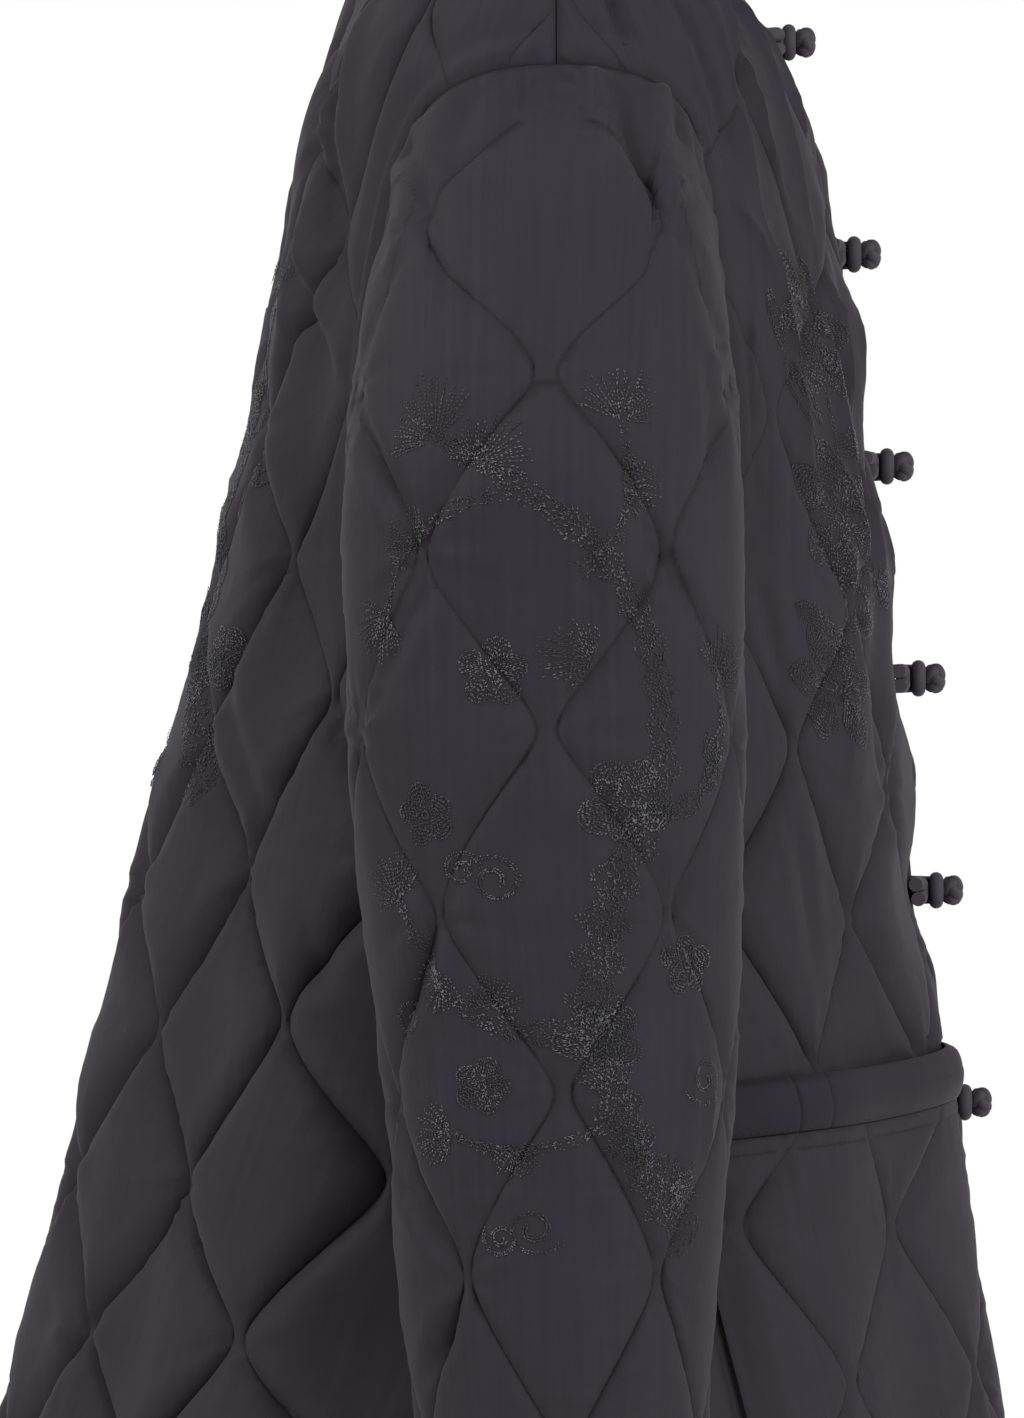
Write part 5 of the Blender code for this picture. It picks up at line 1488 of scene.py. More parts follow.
def towards(degrees):
    """Flat direction turned anticlockwise from straight up."""
    return np.array([-math.sin(math.radians(degrees)), math.cos(math.radians(degrees))])


def rope_stitches(path, half_width, rng):
    """Short slanted stitches laid side by side along a path."""
    along, aside = along_and_aside(path)
    wide = half_width * (1.0 + rng.uniform(-0.25, 0.25, (len(path), 1)))
    lean = along * half_width * 1.1
    return np.concatenate([path - aside * wide - lean, path + aside * wide + lean], axis=1)


def branch_stitches(branch, rng):
    """Bark: short stitches strewn thickly along a tapering branch, with bare flecks between them."""
    path = bent(branch, BARK_STEP)
    along, aside = along_and_aside(path)
    half = np.linspace(branch.thick, branch.thin, len(path)) / 2
    gnarl = 1.0 + 0.28 * np.sin(np.arange(len(path)) * BARK_STEP * 2 * math.pi / BARK_GNARL + branch.x1 * 900)
    count = int(len(path) * BARK_STEP * (branch.thick + branch.thin) / 2 * BARK_DENSITY)
    row = rng.integers(0, len(path), count)
    beside = rng.uniform(-1.0, 1.0, count)
    middle = path[row] + aside[row] * (half * gnarl)[row, None] * beside[:, None]
    lean = np.radians(rng.normal(0.0, 32.0, count) + 45.0 * beside)
    ahead = along[row] * np.cos(lean)[:, None] + aside[row] * np.sin(lean)[:, None]
    reach = rng.uniform(0.0004, 0.0010, count)[:, None]
    return np.concatenate([middle - ahead * reach, middle + ahead * reach], axis=1)


def petal_stitches(root, ahead, length, width, rng):
    """Long and short stitches that run out along one petal and stop at its edge."""
    aside = np.array([-ahead[1], ahead[0]])
    rows = max(7, int(length * width * 2 / (THREAD_WIDTH * 1.4)))
    stitches = []
    for beside in np.linspace(-0.94, 0.94, rows):
        reach = 0.56 + 0.44 * math.sqrt(1.0 - beside**2)
        start = 0.20 + 0.24 * abs(beside)
        cuts = np.array([start, start + (reach - start) * rng.uniform(0.35, 0.65), reach])
        for low, high in zip(cuts[:-1], cuts[1:]):
            wide = beside * width * length
            spread_low = wide * math.sin(math.pi * min(0.5, low * 0.72))
            spread_high = wide * math.sin(math.pi * min(0.5, high * 0.72)) * (1.12 - 0.25 * high)
            begin = root + ahead * length * low + aside * spread_low
            finish = root + ahead * length * high + aside * spread_high
            stitches.append(np.concatenate([begin, finish]))
    return np.array(stitches)


def flower_stitches(flower, rng):
    """Petals, and short spokes round their middle."""
    root = np.array([flower.x, flower.y])
    rows = []
    for petal in range(flower.petals):
        ahead = towards(flower.turn + 360 * petal / flower.petals + rng.uniform(-6, 6))
        rows.append(petal_stitches(root, ahead, flower.size * rng.uniform(0.92, 1.08), flower.width, rng))
    for angle in np.arange(0, 360, 15):
        ahead = towards(angle)
        near = root + ahead * flower.size * 0.05
        rows.append(np.concatenate([near, near + ahead * flower.size * rng.uniform(0.20, 0.40)])[None, :])
    return np.concatenate(rows)


def leaf_stitches(leaf, rng):
    """Slanted stitches from the middle of a leaf to both edges."""
    ahead = towards(leaf.turn)
    aside = np.array([-ahead[1], ahead[0]])
    rows = []
    for part in np.linspace(0.04, 0.94, int(leaf.length / LEAF_STEP)):
        wide = leaf.length * 0.21 * math.sin(math.pi * part**0.8) * rng.uniform(0.85, 1.1)
        middle = np.array([leaf.x, leaf.y]) + ahead * leaf.length * part
        for side in (-1.0, 1.0):
            edge = middle + aside * side * wide + ahead * wide * 0.8
            rows.append(np.concatenate([middle, edge]))
    return np.array(rows)


def tuft_stitches(tuft, rng):
    """Pine needles: stitches that fan out from the end of a twig."""
    root = np.array([tuft.x, tuft.y])
    rows = []
    for angle in np.linspace(-78.0, 78.0, NEEDLES):
        ahead = towards(tuft.turn + angle + rng.uniform(-4, 4))
        reach = tuft.size * (0.62 + 0.38 * math.cos(math.radians(angle))) * rng.uniform(0.75, 1.05)
        rows.append(np.concatenate([root + ahead * reach * rng.uniform(0.04, 0.3), root + ahead * reach]))
    return np.array(rows)


def short_stitches(rows, rng):
    """Long stitches worked as short ones, uneven in length and lean."""
    run = rows[:, 2:] - rows[:, :2]
    count = np.maximum(1, np.round(np.linalg.norm(run, axis=1) / SHORT_STITCH)).astype(int)
    whole = np.repeat(np.arange(len(rows)), count)
    part = np.arange(len(whole)) - np.repeat(np.cumsum(count) - count, count)
    low = (part + rng.uniform(0.0, 0.25, len(whole))) / count[whole]
    high = (part + rng.uniform(0.75, 1.0, len(whole))) / count[whole]
    begins = rows[whole, :2] + run[whole] * low[:, None]
    ends = rows[whole, :2] + run[whole] * high[:, None]
    return np.concatenate([begins, ends], axis=1) + rng.normal(0.0, 0.00016, (len(whole), 4))


def scroll_stitches(scroll, rng):
    """A cloud scroll: rope stitches wound into a spiral, with a tail."""
    part = np.linspace(0.0, 1.0, int(scroll.size * 7 / ROPE_STEP))
    angle = math.radians(scroll.turn) + scroll.hand * part * 1.55 * 2 * math.pi
    reach = scroll.size * (1.0 - 0.78 * part**0.8)
    path = columns(scroll.x + reach * np.cos(angle), scroll.y + reach * np.sin(angle))
    return rope_stitches(path, SCROLL_HALF, rng)


def stem_stitches(stem, rng):
    """Rope stitches along a bent stem."""
    return rope_stitches(bent(stem, ROPE_STEP), STEM_HALF, rng)


# Each panel's design: kinds of stitching, in the order of working, with what they work
SLEEVE_DESIGN = (
    (branch_stitches, SLEEVE_BRANCHES), (tuft_stitches, SLEEVE_TUFTS), (scroll_stitches, SLEEVE_SCROLLS),
    (flower_stitches, SLEEVE_FLOWERS))
BACK_DESIGN = (
    (branch_stitches, BACK_BRANCHES), (tuft_stitches, BACK_TUFTS), (scroll_stitches, BACK_SCROLLS),
    (flower_stitches, BACK_FLOWERS))
FRONT_DESIGN = ((stem_stitches, FRONT_STEMS), (leaf_stitches, FRONT_LEAVES), (flower_stitches, FRONT_FLOWERS))


def embroider(name, design, spot, height_at, seed):
    """Tone-on-tone embroidery lying on a panel."""
    rng = np.random.default_rng(seed)
    rows = [kind(row, rng) for kind, table in design for row in table]
    stitches = short_stitches(np.concatenate(rows), rng)
    begins, ends = stitches[:, :2], stitches[:, 2:]
    lift = THREAD_LIFT + rng.uniform(0.0, 0.0004, len(stitches))
    height_begin, height_end = height_at(begins) + lift, height_at(ends) + lift
    low, high = spot(begins, height_begin), spot(ends, height_end)
    outward = unit(spot(begins, height_begin + 0.002) - low)
    thing = sew("embroidery_" + name, low, high, outward, THREAD_WIDTH, THREAD_WIDTH * 0.9, RAYON_THREAD)
    return ride_with(thing)


# Panels


def pressed_seam(distance):
    """The seam allowance, pressed to the body side, lifts its edge up to the row of topstitching."""
    return SEAM_LIFT * ease(distance / EDGE_TURN) * (1.0 - ease((distance - TOPSTITCH_SET + 0.002) / 0.004))


def by_armhole(around):
    """Share of the filling left beside an armhole, where the cloth is drawn flat."""
    return ARMHOLE_FILL + (1.0 - ARMHOLE_FILL) * ease((around - TOPSTITCH_SET) / ARMHOLE_FILL_RUN)


def by_closures(places):
    """Share of the filling left beside the closures, which hold the front edge flat."""
    turns = (FROG_TOP_Z - np.interp(BODY_RISE - places[:, 1], FALLS, FRONT_LEVELS)) / FROG_SPACING
    away = (turns - np.clip(np.round(turns), 0, FROG_COUNT - 1)) * FROG_SPACING
    return 1.0 - HELD_SHARE * np.exp(-((away / HELD_HEIGHT) ** 2) - (np.abs(places[:, 0]) / HELD_WIDTH) ** 4)


def front_height(outline, side, seed):
    """Heights of a front's outer face above its inner face."""
    armhole = armhole_edge("front") * np.array([side, 1.0])

    def height_at(places):
        right = columns(np.abs(places[:, 0]), places[:, 1])
        column, pitch = body_column("front", places)
        covered = inside(POCKET_WHOLE, right, 0.0)
        around = from_path(armhole[::2], places, False)
        pocket = from_path(np.roll(POCKET_WHOLE, 1, axis=0), right, False)
        sewn = np.minimum(from_path(outline[::2], places, True), pocket) - SEAM_FLAT
        sewn = np.minimum(sewn, np.abs(around - TOPSTITCH_SET))
        fullness = by_armhole(around) * by_closures(places)
        height = quilted(
            places, column, places[:, 1], pitch, FRONT_QUILT, sewn, FRONT_FILLING, fullness, seed)
        height += pressed_seam(around)
        height += crease_height(FRONT_CREASES, right) * ease(sewn / CREASE_RUN)
        room = np.maximum(pocket_lift(places) - WALL - POCKET_CLEAR, 0.0)
        under = 1.0 - ease((pocket_head(places[:, 0]) - places[:, 1]) / POCKET_BAND)
        height = np.where(covered, np.minimum(height, room) * under, height)
        return WALL + np.maximum(height, DEEPEST)
    return height_at


def back_height(outline, seed):
    """Heights of the back's outer face above its inner face."""
    armholes = [armhole_edge("back") * np.array([side, 1.0]) for side in (1.0, -1.0)]

    def height_at(places):
        column, pitch = body_column("back", places)
        around = np.minimum(*[from_path(edge[::2], places, False) for edge in armholes])
        sewn = np.minimum(from_path(outline[::2], places, True) - SEAM_FLAT, np.abs(around - TOPSTITCH_SET))
        fullness = by_armhole(around)
        height = quilted(places, column, places[:, 1], pitch, BACK_QUILT, sewn, BACK_FILLING, fullness, seed)
        height += pressed_seam(around)
        height += crease_height(BACK_CREASES, places) * ease(sewn / CREASE_RUN)
        return WALL + np.maximum(height, DEEPEST)
    return height_at


def sleeve_height(outline, seed):
    """Heights of a sleeve's outer face: flat at the cap, full behind the elbow."""
    def height_at(places):
        column, true, pitch = sleeve_column(places)
        sewn = from_path(outline[::2], places, True) - SEAM_FLAT
        behind = ease((-places[:, 0] - ELBOW_FROM) / 0.05) * ease((ELBOW_TO + places[:, 0]) / 0.04)
        below = SLEEVE_LENGTH - places[:, 1] - SEAM_FLAT
        cap = np.exp(-((places[:, 0] / CAP_WIDTH) ** 4)) * (1.0 - ease((below - SEAM_FLAT) / CAP_FADE))
        fullness = (1.0 + ELBOW_FULL * behind * ease((ELBOW_RISE - places[:, 1]) / ELBOW_RUN)) * (1.0 - cap)
        height = quilted(places, column, true, pitch, SLEEVE_QUILT, sewn, SLEEVE_FILLING, fullness, seed)
        height -= CAP_FLAT * (1.0 - ease(below / CAP_RUN)) * ease(sewn / BASE_RUN)
        height += crease_height(SLEEVE_CREASES, places) * ease(sewn / SEWN_RUN)
        height += gathers(below, places[:, 0], seed) * ease(sewn / SEWN_RUN)
        return WALL + np.maximum(height, DEEPEST)
    return height_at


def pocket_lift(places):
    """Height of the pocket's inner face: flat on the front at its sewn sides, gaping at the mouth."""
    across, rise = np.abs(places[:, 0]), places[:, 1]
    part = np.clip((across - POCKET_FRONT) / POCKET_WIDTH, 0.0, 1.0)
    open_part = ease(1.0 - (pocket_head(across) - rise) / POCKET_GAPE_RUN)
    return WALL + TOUCH_GAP + POCKET_GAPE * np.sin(math.pi * part) * open_part


def on_pocket(places, height):
    """Points of a pocket, moved out from its inner face by height."""
    return on_body("front", places, height + pocket_lift(places))


def pocket_height(outline, seed):
    """Heights of a pocket's outer face, sewn down in a row below its band."""
    def height_at(places):
        column, pitch = body_column("front", places)
        below = pocket_head(places[:, 0]) - POCKET_BAND - places[:, 1]
        sewn = np.minimum(from_path(outline[::2], places, True) - SEAM_FLAT, np.abs(below - POCKET_ROW))
        return WALL + quilted(
            places, column, places[:, 1], pitch, FRONT_QUILT, sewn, POCKET_FILLING, 1.0, seed)
    return height_at


def clear_of(half):
    """Distance from the quilting lines of a body panel, as a function of places."""
    def distance(places):
        column, pitch = body_column(half, places)
        return nearest_line(column, places[:, 1], pitch, QUILTS[half])[0]
    return distance


def clear_on_sleeve(places):
    """Distance from the quilting lines of a sleeve."""
    return nearest_line(*sleeve_column(places), SLEEVE_QUILT)[0]


def make_fronts():
    """Both fronts, the right one embroidered."""
    begin = BAND_WIDTH + SEAM_GAP / 2
    front_edge = columns(begin, steps_between(BODY_RISE, 0.0, EDGE_STEP))
    hem = level_edge(begin, quarter_at("front", 0.0) - SEAM_GAP / 2, 0.0)
    neck = neck_edge("front")
    neck[-1, 0] = begin
    right = np.concatenate([hem, side_edge("front"), neck, front_edge[1:]])
    for name, side, seed in (("front_right", 1.0, 11), ("front_left", -1.0, 23)):
        mirror = np.array([side, 1.0])
        outline = right * mirror if side > 0 else right[::-1] * mirror
        pocket = POCKET_WHOLE * mirror
        lines = []
        for line in body_lines("front", outline, FRONT_LINES, side):
            lines += runs_inside(outline, line, LINE_MARGIN, pocket)
        height_at = front_height(outline, side, seed)
        crests = [bent(crease, CREST_STEP) * mirror for crease in FRONT_CREASES]
        panel = cloth_shell(
            name + "_panel", outline, lines, crests, clear_of("front"), on_front, height_at, SHELL_CLOTH)
        stand_for(panel, name)
        lines.append(beside_edge(armhole_edge("front"), TOPSTITCH_SET) * mirror)
        sewn = [quilting_on(name, lines, on_front, height_at)]
        if side > 0:
            sewn.append(embroider(name, FRONT_DESIGN, on_front, height_at, 3))


def make_back():
    """The back, with its embroidery."""
    side = side_edge("back")
    half_hem = quarter_at("back", 0.0) - SEAM_GAP / 2
    hem = level_edge(-half_hem, half_hem, 0.0)
    neck = neck_edge("back")
    mirror = np.array([-1.0, 1.0])
    outline = np.concatenate([hem, side, neck, neck[-2::-1] * mirror, side[:0:-1] * mirror])
    lines = body_lines("back", outline, BACK_LINES, 1.0)
    height_at = back_height(outline, 37)
    crests = [bent(crease, CREST_STEP) for crease in BACK_CREASES]
    panel = cloth_shell(
        "back_panel", outline, lines, crests, clear_of("back"), on_back, height_at, SHELL_CLOTH)
    stand_for(panel, "back")
    row = beside_edge(armhole_edge("back"), TOPSTITCH_SET)
    lines += [row, row * mirror]
    sewn = [
        quilting_on("back", lines, on_back, height_at), embroider("back", BACK_DESIGN, on_back, height_at, 5)]


def make_sleeves():
    """Both sleeves, sewn shut along the underarm."""
    half = SLEEVE_GIRTH / 2
    cuff = level_edge(-half, half, 0.0)
    seam_rise = steps_between(0.0, SLEEVE_LENGTH, EDGE_STEP)
    right_seam = columns(half, seam_rise)
    turns = math.pi * np.concatenate([ARMHOLE_SHARES[::-1], -ARMHOLE_SHARES[1:]])
    root = columns(turns / (2 * math.pi) * SLEEVE_GIRTH, SLEEVE_LENGTH)
    left_seam = columns(-half, seam_rise)[:0:-1]
    outline = np.concatenate([cuff, right_seam, root, left_seam])
    first_right = len(cuff)
    top_right = first_right + len(right_seam)
    top_left = top_right + len(root) - 1
    right_corners = np.arange(first_right, top_right + 1)
    left_corners = np.concatenate([[0], np.arange(len(outline) - 1, top_left - 1, -1)])
    shut = np.concatenate([np.arange(first_right, top_right), np.arange(top_left, len(outline))])
    lines = sleeve_lines(outline)
    crests = [bent(crease, CREST_STEP) for crease in SLEEVE_CREASES]
    for name, spot, seed in (("sleeve_right", on_sleeve, 41), ("sleeve_left", on_left_sleeve, 53)):
        height_at = sleeve_height(outline, seed)
        sleeve = cloth_shell(
            name + "_panel", outline, lines, crests, clear_on_sleeve, spot, height_at, SHELL_CLOTH,
            (right_corners, left_corners, shut))
        stand_for(sleeve, name)
        sewn = [quilting_on(name, lines, spot, height_at)]
        if name == "sleeve_right":
            sewn.append(embroider(name, SLEEVE_DESIGN, spot, height_at, 7))


def make_pockets():
    """Both patch pockets, up to their bands."""
    for name, side, seed in (("pocket_right", 1.0, 61), ("pocket_left", -1.0, 67)):
        mirror = np.array([side, 1.0])
        outline = POCKET_PATCH if side > 0 else POCKET_PATCH[::-1] * mirror
        lines = body_lines("front", outline, POCKET_LINES, side)
        below = pocket_head(POCKET_ACROSS) - POCKET_BAND - POCKET_ROW
        lines.append(columns(side * POCKET_ACROSS, below)[1:-1])
        height_at = pocket_height(outline, seed)
        # The row of stitches below the band also takes painted shade
        patch = cloth_shell(name + "_patch", outline, lines[:-1], lines[-1:], clear_of("front"), on_pocket,
                            height_at, SHELL_CLOTH, painted_shade_rows=lines[-1:])
        stand_for(patch, name)
        sewn = quilting_on(name, lines, on_pocket, height_at)


def trim_profile(width, roll, count):
    """Across and height of a turned strip's section: from its free edge over to its sewn edge and back."""
    part = np.linspace(0.0, 1.0, count)
    rounded = (1.0 - np.abs(2 * part - 1.0) ** 2.4)
    edge = np.minimum(part, 1.0 - part) * width
    height = WALL * np.where(part < 0.5, 0.45 + 0.55 * ease(edge / EDGE_TURN), 1.12) + roll * rounded
    top = columns(part * width, height)
    return np.concatenate([top, [(width, 0.0), (0.0, 0.0)]])


def topstitching(name, sections, corner):
    """A row of stitches along one corner of a swept strip's sections."""
    strip = np.array(sections)
    path = strip[:, corner]
    outward = unit(np.cross(np.gradient(path, axis=0), strip[:, corner + 1] - strip[:, corner - 1]))
    outward *= np.sign((outward * (path - strip.mean(axis=1))).sum(axis=1, keepdims=True))
    lengths = lengths_along(path)
    starts = np.arange(STITCH_PITCH, lengths[-1] - STITCH_PITCH, STITCH_PITCH)
    begins, ends = (at_lengths(starts + reach, lengths, path) for reach in (0.0, STITCH_LENGTH))
    thing = sew("topstitching_" + name, begins, ends, at_lengths(starts, lengths, outward),
                STITCH_WIDTH, STITCH_FLAT, SEWING_THREAD)
    return ride_with(thing)


def make_front_bands():
    """Turned bands along both front edges."""
    rises = np.linspace(0.0, BODY_RISE, int(BODY_RISE / BAND_STEP))
    profile = trim_profile(BAND_WIDTH - SEAM_GAP, BAND_ROLL, BAND_CORNERS)
    across = profile[:, 0] + SEAM_GAP / 2
    for name, side in (("front_band_right", 1.0), ("front_band_left", -1.0)):
        sections, flats = [], []
        for rise in rises:
            ripple = BAND_RIPPLE * np.sin(2 * math.pi * rise / BAND_WAVE + 2 * side)
            ripple = ripple * np.sin(math.pi * across / BAND_WIDTH)
            height = profile[:, 1] + np.where(profile[:, 1] > 0, ripple, 0.0)
            sections.append(on_front(columns(side * across, rise), height))
            flats.append(columns(across, rise))
        band = swept_shell(name + "_strip", sections, flats, TRIM_CLOTH)
        stand_for(band, name)
        row = topstitching(name, sections, BAND_STITCHED)


def make_pocket_bands():
    """Padded bands across both pocket mouths, pieced near their back ends."""
    profile = trim_profile(POCKET_BAND - SEAM_GAP, POCKET_BAND_ROLL, POCKET_BAND_CORNERS)
    below = profile[:, 0] + SEAM_GAP / 2
    stations = np.linspace(POCKET_ACROSS[0], POCKET_ACROSS[-1], POCKET_BAND_STEPS)
    stations = np.union1d(stations, np.add.outer(POCKET_JOINS, POCKET_JOIN_STEPS).ravel())
    for name, side in (("pocket_band_right", 1.0), ("pocket_band_left", -1.0)):
        sections, flats = [], []
        for across in stations:
            places = columns(side * across, pocket_head(across) - below)
            aside = (across - np.array(POCKET_JOINS)) / POCKET_JOIN_WIDTH
            joins = (POCKET_JOIN * np.exp(-(aside**2))).sum()
            ripple = POCKET_RIPPLE * math.sin(2 * math.pi * across / POCKET_WAVE)
            height = profile[:, 1] + np.where(profile[:, 1] > POCKET_BAND_EDGE, ripple - joins, 0.0)
            sections.append(on_pocket(places, height))
            flats.append(columns(across, below))
        band = swept_shell(name + "_strip", sections, flats, TRIM_CLOTH)
        stand_for(band, name)
        row = topstitching(name, sections, POCKET_BAND_STITCHED)


def make_collar():
    """A stand collar swept round the neckline, open at the front."""
    across = {half: neck_across(half) for half in ("front", "back")}
    level = np.full(NECK_STEPS + 1, BODY_RISE)
    start = turn_at("front", np.linspace(TOUCH_GAP, BAND_WIDTH, 8)[:-1], level[:7])
    front = turn_at("front", across["front"], level)
    back = turn_at("back", across["back"][::-1], level)[1:]
    half_way = np.concatenate([start, front, back])
    turns = np.concatenate([half_way, 2 * math.pi - half_way[-2::-1]])
    near = 1e-3
    rows = np.linspace(0.0, 1.0, COLLAR_ROWS)
    sections, flats = [], []
    length = 0.0
    last = None
    for turn in turns:
        angle = np.array([turn])
        point = body_ring(angle, np.zeros(1))[0]
        outward = body_outward(angle, np.array([near]))[0]
        upward = unit(point - body_ring(angle, np.array([near]))[0])
        aside = unit(outward * np.array([1.0, 1.0, 0.0]))
        share = np.array([min(turn, 2 * math.pi - turn) / math.pi])
        height = through(COLLAR_STANDS, "height", share)[0]
        lean = through(COLLAR_STANDS, "lean", share)[0]
        up = np.array([0.0, 0.0, 1.0])
        stand = up * math.cos(lean) + aside * math.sin(lean)
        through_wall = aside * math.cos(lean) - up * math.sin(lean)
        base = point + upward * SEAM_GAP
        notch = COLLAR_NOTCH * max(0.0, 1.0 - share[0] / COLLAR_NOTCH_SHARE)
        apart = np.array([-math.copysign(notch, math.pi - turn), 0.0, 0.0])
        if last is not None:
            length += float(np.linalg.norm(point - last))
        last = point
        outer, inner, flat_out, flat_in = [], [], [], []
        for row in rows:
            spot = base + stand * height * row + apart * row
            wall = (outward * WALL) * (1.0 - ease(row * 4)) + through_wall * COLLAR_WALL * ease(row * 4)
            round_off = 1.0 - max(0.0, (row - COLLAR_TOP) / (1.0 - COLLAR_TOP)) ** 2
            middle = spot + wall / 2
            outer.append(middle + wall / 2 * max(round_off, 0.12))
            inner.append(middle - wall / 2 * max(round_off, 0.12))
            flat_out.append((length, height * row))
            flat_in.append((length, -height * row))
        sections.append(np.array(outer + inner[::-1]))
        flats.append(np.array(flat_out + flat_in[::-1]))
    collar = swept_shell("collar_stand", sections, flats, TRIM_CLOTH)
    stand_for(collar, "collar")


# Frog closures


def rest_height(across, rise):
    """Height of a cord's middle where it lies on the front band or on the panel beside it."""
    ahead = abs(across) + CORD_RADIUS * 2
    panel = plain_front_height(np.array([(ahead, rise)]))[0] if ahead > BAND_WIDTH else 0.0
    part = min(1.0, abs(across) / BAND_WIDTH)
    band = WALL + BAND_ROLL * (1.0 - abs(2.0 * part - 1.0))
    return max(panel, band) + CORD_RADIUS + TOUCH_GAP


def plain_front_height(places):
    """Height of the front under the closures, without the fine relief."""
    column, pitch = body_column("front", places)
    distance = nearest_line(column, places[:, 1], pitch, FRONT_QUILT)[0]
    distance = np.minimum(distance, np.abs(places[:, 0]) - BAND_WIDTH - SEAM_FLAT)
    return FRONT_FILLING.base + loft(distance, FRONT_FILLING) * by_closures(places)


def lying_cord(reaches, level):
    """Points of a cord that lies level across the front."""
    rises = rise_at_level(reaches, np.full_like(reaches, level))
    heights = np.array([rest_height(across, rise) for across, rise in zip(reaches, rises)])
    return on_front(columns(reaches, rises), heights)


def join_shells(name, shells, material):
    """One mesh from several closed shells given as sections and flat places."""
    points, faces, uvs, first = [], [], [], 0
    for sections, flats in shells:
        part = swept_shell("part", sections, flats, material)
        mesh = part.data
        points.append(np.array([tuple(vert.co) for vert in mesh.vertices]))
        corners = np.array([tuple(face.vertices) for face in mesh.polygons])
        faces.append(corners + first)
        uvs.append(np.concatenate(flats)[corners])
        first += len(mesh.vertices)
        bpy.data.objects.remove(part)
        bpy.data.meshes.remove(mesh)
    return new_piece(name, np.concatenate(points), np.concatenate(faces), np.concatenate(uvs), material)


def ball_knot(centre, foot, ring_height):
    """Cord of a ball knot: three leads and four bights, woven over and under, on a short neck."""
    middle = ring_height + CORD_RADIUS + TOUCH_GAP + KNOT_HEIGHT * KNOT_SEAT
    turn = np.linspace(0.0, 2 * math.pi, 181)
    cord = KNOT_RADIUS * KNOT_CORD
    flatten = (KNOT_HEIGHT - cord * 0.8) / (KNOT_RADIUS - cord)
    lift = np.radians(66) * np.sin(4 * turn)
    reach = KNOT_RADIUS - cord * 1.2 + cord * 0.35 * np.sin(8 * turn)
    x = reach * np.cos(lift) * np.cos(3 * turn)
    z = reach * np.cos(lift) * np.sin(3 * turn)
    y = -(middle + flatten * reach * np.sin(lift))
    weave = tube_sections(centre + columns(x, y, z), cord, KNOT_SIDES)
    upright = centre + columns(0.0, -np.linspace(foot, middle, 6), 0.0)
    neck = tube_sections(upright, KNOT_NECK * 1.1, KNOT_SIDES)
    tilts = np.radians(np.linspace(-75, 75, 7))
    angles = np.arange(CORE_SIDES) * 2 * math.pi / CORE_SIDES
    core = []
    for tilt in tilts:
        radius = KNOT_RADIUS * KNOT_CORE * math.cos(tilt)
        height = middle + KNOT_HEIGHT * KNOT_CORE * math.sin(tilt)
        core.append(centre + columns(radius * np.cos(angles), -height, radius * np.sin(angles)))
    core_flat = [columns(angles * KNOT_RADIUS, tilt * KNOT_RADIUS) for tilt in tilts]
    return [weave, neck, (core, core_flat)]


def make_frogs():
    """Six closures: a bar on the right front, a loop on the left front and a ball knot through the loop."""
    beside = CORD_RADIUS + TOUCH_GAP / 2
    flat = WALL + BAND_ROLL + CORD_RADIUS + TOUCH_GAP
    for number in range(FROG_COUNT):
        level = FROG_TOP_Z - number * FROG_SPACING
        rise = BODY_RISE - np.interp(-level, -FRONT_LEVELS, FALLS)
        centre = on_front(np.array([(0.0, rise)]), np.zeros(1))[0]
        upward = body_outward(np.zeros(1), down_at(np.array([rise])))[0, 2]
        upright = math.sqrt(1.0 - upward**2)
        slope = upward / upright
        lying = level - upward * flat
        ring_height = flat / upright + 2 * (CORD_RADIUS + TOUCH_GAP) + slope * (LOOP_RADIUS + CORD_RADIUS)
        reaches = np.linspace(-BAR_LENGTH, -LOOP_LEAD, 5)
        turns = np.radians(np.linspace(LOOP_OPENING, 360 - LOOP_OPENING, 13))
        ring = columns(LOOP_RADIUS * np.cos(turns), -ring_height, LOOP_RADIUS * np.sin(turns))
        loop_path = np.concatenate([
            lying_cord(reaches, lying + beside), centre + ring, lying_cord(reaches[::-1], lying - beside)])
        loop_path = smooth_path(loop_path, CORD_STEP)
        reaches = np.linspace(BAR_LENGTH, BAR_END, 9)
        turns = np.radians(BAR_BEND)
        ends = BAR_END - beside * np.cos(turns)
        bend = columns(ends, rise_at_level(ends, lying + beside * np.sin(turns)))
        bar_path = np.concatenate([
            lying_cord(reaches, lying + beside), on_front(bend, np.full(len(turns), flat)),
            lying_cord(reaches[::-1], lying - beside)])
        near = 1.0 - ease((np.concatenate([reaches, ends, reaches[::-1]]) - BAR_END) / BAR_LIFT_RUN)
        bar_path[:, 1] -= near * slope * np.maximum(LOOP_RADIUS + CORD_RADIUS + bar_path[:, 2] - lying, 0.0)
        bar_path = smooth_path(bar_path, CORD_STEP)
        foot = (flat + CORD_RADIUS + TOUCH_GAP) / upright + slope * KNOT_NECK
        closures = (
            ("loop", [tube_sections(loop_path, CORD_FULL, CORD_SIDES)]),
            ("bar", [tube_sections(bar_path, CORD_FULL, CORD_SIDES)]),
            ("knot", ball_knot(centre, foot, ring_height)),
        )
        for kind, shells in closures:
            node = f"frog_{kind}_{number + 1}"
            piece = join_shells(node + "_cord", shells, CORD_CLOTH)
            stand_for(piece, node)
        reaches = np.linspace(BAR_LENGTH, BAR_END + BAR_LIFT_RUN, 4)
        between = lying_cord(reaches, lying)
        outward = unit(between - on_front(columns(reaches, rise), np.zeros(len(reaches))))
        between = between + outward * CORD_RADIUS * 0.45
        run = np.diff(between, axis=0)
        row = sew(f"topstitching_frog_{number + 1}", between[:-1] + run * 0.15, between[:-1] + run * 0.8,
                  outward[:-1], STITCH_WIDTH, STITCH_WIDTH, SEWING_THREAD)
        ride_with(row)


# Stage


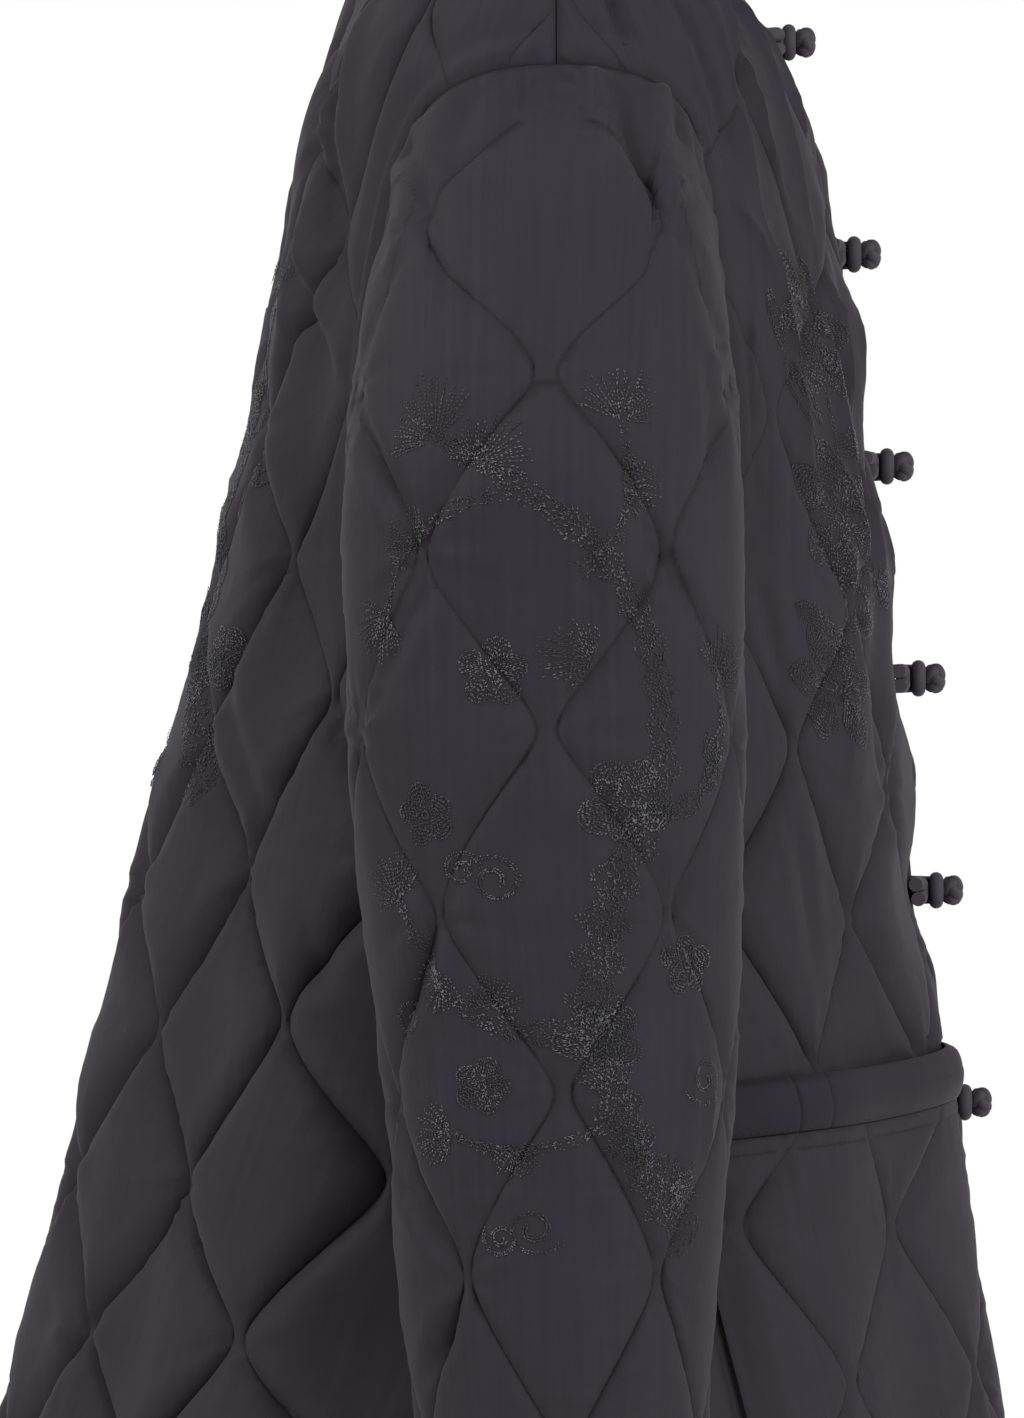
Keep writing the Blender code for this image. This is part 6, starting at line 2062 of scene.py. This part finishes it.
def make_stage():
    """White studio with floor, lamps and camera."""
    scene = bpy.context.scene
    scene.view_settings.view_transform = "Standard"
    scene.view_settings.look = "None"
    world = bpy.data.worlds.new("white_studio")
    world.use_nodes = True
    world.node_tree.nodes["Background"].inputs["Color"].default_value = (1.0, 1.0, 1.0, 1.0)
    world.node_tree.nodes["Background"].inputs["Strength"].default_value = 1.0
    scene.world = world
    angles = np.arange(FLOOR_SIDES) * 2 * math.pi / FLOOR_SIDES
    rim = columns(FLOOR_RADIUS * np.cos(angles), FLOOR_RADIUS * np.sin(angles), FLOOR_Z)
    mesh = bpy.data.meshes.new("floor")
    mesh.from_pydata(rim.tolist(), [], [list(range(FLOOR_SIDES))])
    floor = bpy.data.objects.new("floor", mesh)
    scene.collection.objects.link(floor)
    # Rolled matt paint: even and without gloss
    paint, _ = new_material("matt_white_floor_paint", {"Base Color": linear("#f4f3f1"), "Roughness": 0.8})
    mesh.materials.append(paint)
    for name, place, power in (
        ("key_softbox", (-2.6, -1.6, 1.8), 116.0),
        ("back_softbox", (-1.2, 2.4, 2.2), 170.0),
        ("low_softbox", (-2.4, -1.8, -0.8), 52.0),
        ("front_edge_softbox", (-0.6, -3.0, 0.8), 62.0),
        ("back_edge_softbox", (-0.6, 3.0, 0.8), 34.0),
    ):
        lamp = bpy.data.lights.new(name, "AREA")
        lamp.shape = "DISK"
        lamp.size = LAMP_WIDTH
        lamp.energy = power
        thing = bpy.data.objects.new(name, lamp)
        thing.location = place
        thing.rotation_euler = (LAMP_AIM - Vector(place)).to_track_quat("-Z", "Y").to_euler()
        scene.collection.objects.link(thing)
    camera = bpy.data.cameras.new("camera")
    camera.lens = CAMERA_LENS
    camera.sensor_width = 36.0
    camera.clip_end = 100.0
    thing = bpy.data.objects.new("camera", camera)
    thing.location = CAMERA_PLACE
    thing.rotation_euler = (math.pi / 2, 0.0, -math.pi / 2)
    scene.collection.objects.link(thing)
    scene.camera = thing


make_stage()
make_back()
make_fronts()
make_sleeves()
make_pockets()
make_front_bands()
make_pocket_bands()
make_collar()
make_frogs()
